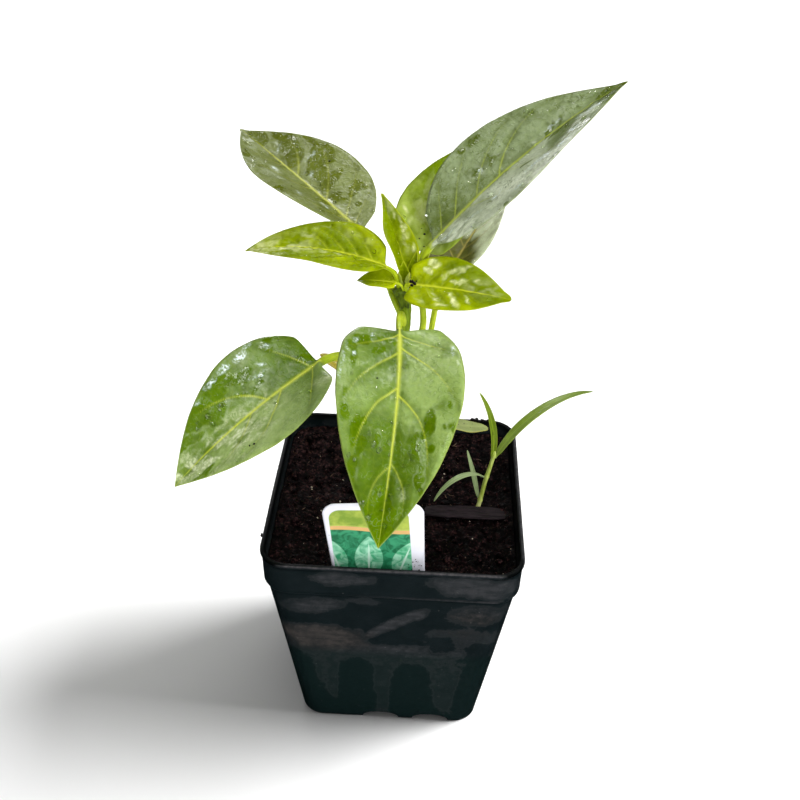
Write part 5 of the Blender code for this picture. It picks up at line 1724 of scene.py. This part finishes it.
def label_plastic(name, printed):
    """White plastic with a satin film; the printed side has a panel with bands and leaf shapes."""
    r = Recipe(name, Coat_Weight=0.2 if printed else 0.0, Coat_Roughness=0.2)
    place = r.place()
    soft = r.noise(6.0, place, detail=3.0)
    fine = r.noise(0.5, place, detail=2.0)
    colour = r.shade(soft, 0.3, 0.7, (0.84, 0.84, 0.93), (0.90, 0.90, 0.99))
    if printed:
        crisp = (-0.12, 0.12)
        stripes = r.maths("SINE", r.times(r.field("sky"), 4.2))
        meadow = r.shade(soft, 0.35, 0.65, (0.22, 0.36, 0.03), (0.48, 0.58, 0.08))
        meadow = r.mix(r.ramp(stripes, 0.2, 0.9, 0.0, 0.5), meadow, (0.62, 0.68, 0.16))
        blur = r.noise(3.4, place, detail=2.0, distortion=1.2)
        field = r.shade(blur, 0.35, 0.65, (0.012, 0.16, 0.065), (0.045, 0.36, 0.17))
        leaf = r.shade(blur, 0.3, 0.7, (0.05, 0.42, 0.19), (0.38, 0.76, 0.54))
        field = r.mix(r.ramp(r.field("leaves"), *crisp), field, leaf)
        field = r.mix(r.ramp(r.field("ribs"), *crisp), field, (0.60, 0.86, 0.70))
        band = r.times(r.ramp(r.field("sky"), -0.1, 0.1), r.ramp(r.field("sky"), 1.7, 1.5))
        picture = r.mix(r.ramp(r.field("sky"), *crisp), field, meadow)
        picture = r.mix(band, picture, (0.78, 0.46, 0.17))
        colour = r.mix(r.ramp(r.field("panel"), *crisp), colour, picture)
    dirt = r.times(r.ramp(r.cells(2.6, place), 0.1, 0.05), r.ramp(r.noise(3.0, place), 0.5, 0.6))
    colour = r.mix(dirt, colour, (0.03, 0.025, 0.02))
    return r.finish(colour, r.ramp(fine, 0.3, 0.7, 0.3, 0.4), r.bump(fine, 0.02))


# Set, lights and camera -----------------------------------------------------------------------

CAMERA_TARGET = Vector((0.13, 0.0, 126.06))
CAMERA_DISTANCE = 348.4
CAMERA_RISE = 34.0
CAMERA_SIDE = 1.6  # how far the camera stands to the right of straight in front
CAMERA_ROLL = 1.76
CAMERA_LENS = 45.45
SKY_STRENGTH = 0.22

# Broad lights that only matt surfaces show: heading, rise, softness in degrees, strength, lit things.
BROAD_LIGHTS = {
    "floor_light": (15.0, 25.5, 42.0, 9.6, "floor"),
    "floor_fill": (74.5, 15.0, 78.5, 2.0, "floor"),
    "plant_key": (-58.0, 46.0, 66.0, 2.85, "plant"),
    "plant_back": (20.0, 48.0, 60.0, 1.4, "plant"),
}

# Soft boxes that only gloss shows: heading, rise, size in metres and radiance.
SOFT_BOXES = {
    "sheen_left": (150.0, 32.0, 1.1, 0.8),
    "sheen_above": (118.0, 64.0, 0.9, 0.35),
    "sheen_low_back": (103.0, 13.0, 0.6, 1.1),
    "sheen_front": (-112.0, 40.0, 0.8, 0.25),
    "glint_front": (-110.0, 60.0, 0.36, 18.0),
    "glint_above": (88.0, 54.0, 0.40, 18.0),
    "glint_left": (155.0, 62.0, 0.16, 50.0),
    "glint_low_back": (104.0, 12.0, 0.24, 20.0),
    "glint_right": (20.0, 45.0, 0.2, 60.0),
}
SOFT_BOX_DISTANCE = 1.8
LIGHTS_AIM = 0.15  # height that the lights are set out round, in metres
FLOOR_SIZE = 12.0


def make_camera():
    rise, side, roll = (math.radians(a) for a in (CAMERA_RISE, CAMERA_SIDE, CAMERA_ROLL))
    back = Vector((math.sin(side) * math.cos(rise), -math.cos(side) * math.cos(rise), math.sin(rise)))
    level = Vector((0, 0, 1)).cross(back).normalized()
    upright = back.cross(level)
    right = level * math.cos(roll) + upright * math.sin(roll)
    up = upright * math.cos(roll) - level * math.sin(roll)
    data = bpy.data.cameras.new("camera")
    data.lens = CAMERA_LENS
    data.clip_start = 0.01
    data.clip_end = 100.0
    camera = bpy.data.objects.new("camera", data)
    axes = Matrix((right, up, back)).transposed().to_4x4()
    camera.matrix_world = Matrix.Translation((CAMERA_TARGET + back * CAMERA_DISTANCE) * MM) @ axes
    bpy.context.scene.collection.objects.link(camera)
    bpy.context.scene.camera = camera


def add_light(name, kind, energy, way, distance=1.0, size=0.5, **settings):
    """A light that shines at the plant from the way given as a heading and a rise."""
    data = bpy.data.lights.new(name, kind)
    data.energy = energy
    if kind == "AREA":
        data.shape = "DISK"
        data.size = size
    for setting, value in settings.items():
        setattr(data, setting, value)
    light = bpy.data.objects.new(name, data)
    toward = Vector(ways(*way))
    light.location = toward * distance + Vector((0, 0, LIGHTS_AIM))
    light.rotation_euler = toward.to_track_quat("Z", "Y").to_euler()
    bpy.context.scene.collection.objects.link(light)
    return light


def make_lights(floor):
    """Lights the plant and the floor apart: the plant is soft all round and its shadow falls left."""
    for name, (heading, rise, softness, strength, lit) in BROAD_LIGHTS.items():
        light = add_light(name, "SUN", strength, (heading, rise), angle=math.radians(softness))
        light.visible_glossy = False
        receivers = bpy.data.collections.new(name + "_receivers")
        receivers.objects.link(floor)
        if lit == "plant":
            receivers.collection_objects[0].light_linking.link_state = "EXCLUDE"
        light.light_linking.receiver_collection = receivers
    for name, (heading, rise, size, radiance) in SOFT_BOXES.items():
        power = radiance * math.pi * math.pi * size**2 / 4  # what a disk of that radiance gives out
        box = add_light(name, "AREA", power, (heading, rise), SOFT_BOX_DISTANCE, size)
        box.visible_diffuse = False
    world = bpy.data.worlds.new("sky")
    world.use_nodes = True
    sky = world.node_tree.nodes["Background"]
    sky.inputs["Color"].default_value = (1.0, 1.0, 1.0, 1.0)
    ray = world.node_tree.nodes.new("ShaderNodeLightPath")
    strength = world.node_tree.nodes.new("ShaderNodeMapRange")
    strength.inputs["To Min"].default_value = SKY_STRENGTH
    strength.inputs["To Max"].default_value = 1.0
    world.node_tree.links.new(ray.outputs["Is Camera Ray"], strength.inputs["Value"])
    world.node_tree.links.new(strength.outputs["Result"], sky.inputs["Strength"])
    world.cycles_visibility.glossy = False
    bpy.context.scene.world = world
    bpy.context.scene.view_settings.view_transform = "Standard"


def make_floor():
    bpy.ops.mesh.primitive_plane_add(size=FLOOR_SIZE)
    floor = bpy.context.object
    floor.name = "floor"
    r = Recipe("floor_white", roughness=0.9)
    r.shader.inputs["Base Color"].default_value = (0.92, 0.92, 0.92, 1.0)
    r.shader.inputs["Specular IOR Level"].default_value = 0.0
    floor.data.materials.append(r.material)
    floor.visible_glossy = False
    return floor


# Grained materials: name, dark and light colour, size of the grain, roughness and depth of the bump.
GRAINS = {
    "speck": ("compost_speck", (0.004, 0.0025, 0.0025), (0.014, 0.009, 0.008), 0.3, 0.7, 0.05),
    "grit": ("pale_grit", (0.30, 0.24, 0.17), (0.62, 0.55, 0.45), 0.3, 0.8, 0.05),
    "fibre": ("plant_fibre", (0.03, 0.016, 0.010), (0.14, 0.085, 0.05), 0.6, 0.75, 0.05),
    "bark": ("bark_fibre", (0.0040, 0.0026, 0.0032), (0.0200, 0.0130, 0.0160), 0.8, 0.72, 0.25),
    "root": ("root_skin", (0.30, 0.22, 0.12), (0.52, 0.42, 0.27), 0.7, 0.75, 0.1),
}


def make_materials():
    along_bark = {"stretch": (0.2, 1.0, 1.0), "Specular_IOR_Level": 0.15}
    materials = {
        "water": water_material(),
        "stem": stem_material(),
        "grass_culm": grass_culm_material(),
        "pot": pot_material(),
        "soil": soil_material(),
        "label": label_plastic("label_print", True),
        "label_back": label_plastic("label_white", False),
    }
    for key, grain in GRAINS.items():
        materials[key] = simple_grain(*grain, **(along_bark if key == "bark" else {}))
    for finish in LEAF_FINISHES:
        materials[finish + "_top"] = leaf_top(finish)
        materials[finish + "_under"] = leaf_under(finish)
    return materials


def main():
    make_camera()
    make_lights(make_floor())
    materials = make_materials()
    make_pot(materials)
    make_soil(materials)
    make_bark(materials)
    make_label(materials)
    make_stem(materials["stem"])
    make_crown(materials)
    make_leaves(materials)
    make_grass(materials)
    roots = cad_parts["root_system"]
    roots.data.materials.clear()
    roots.data.materials.append(materials["root"])


main()
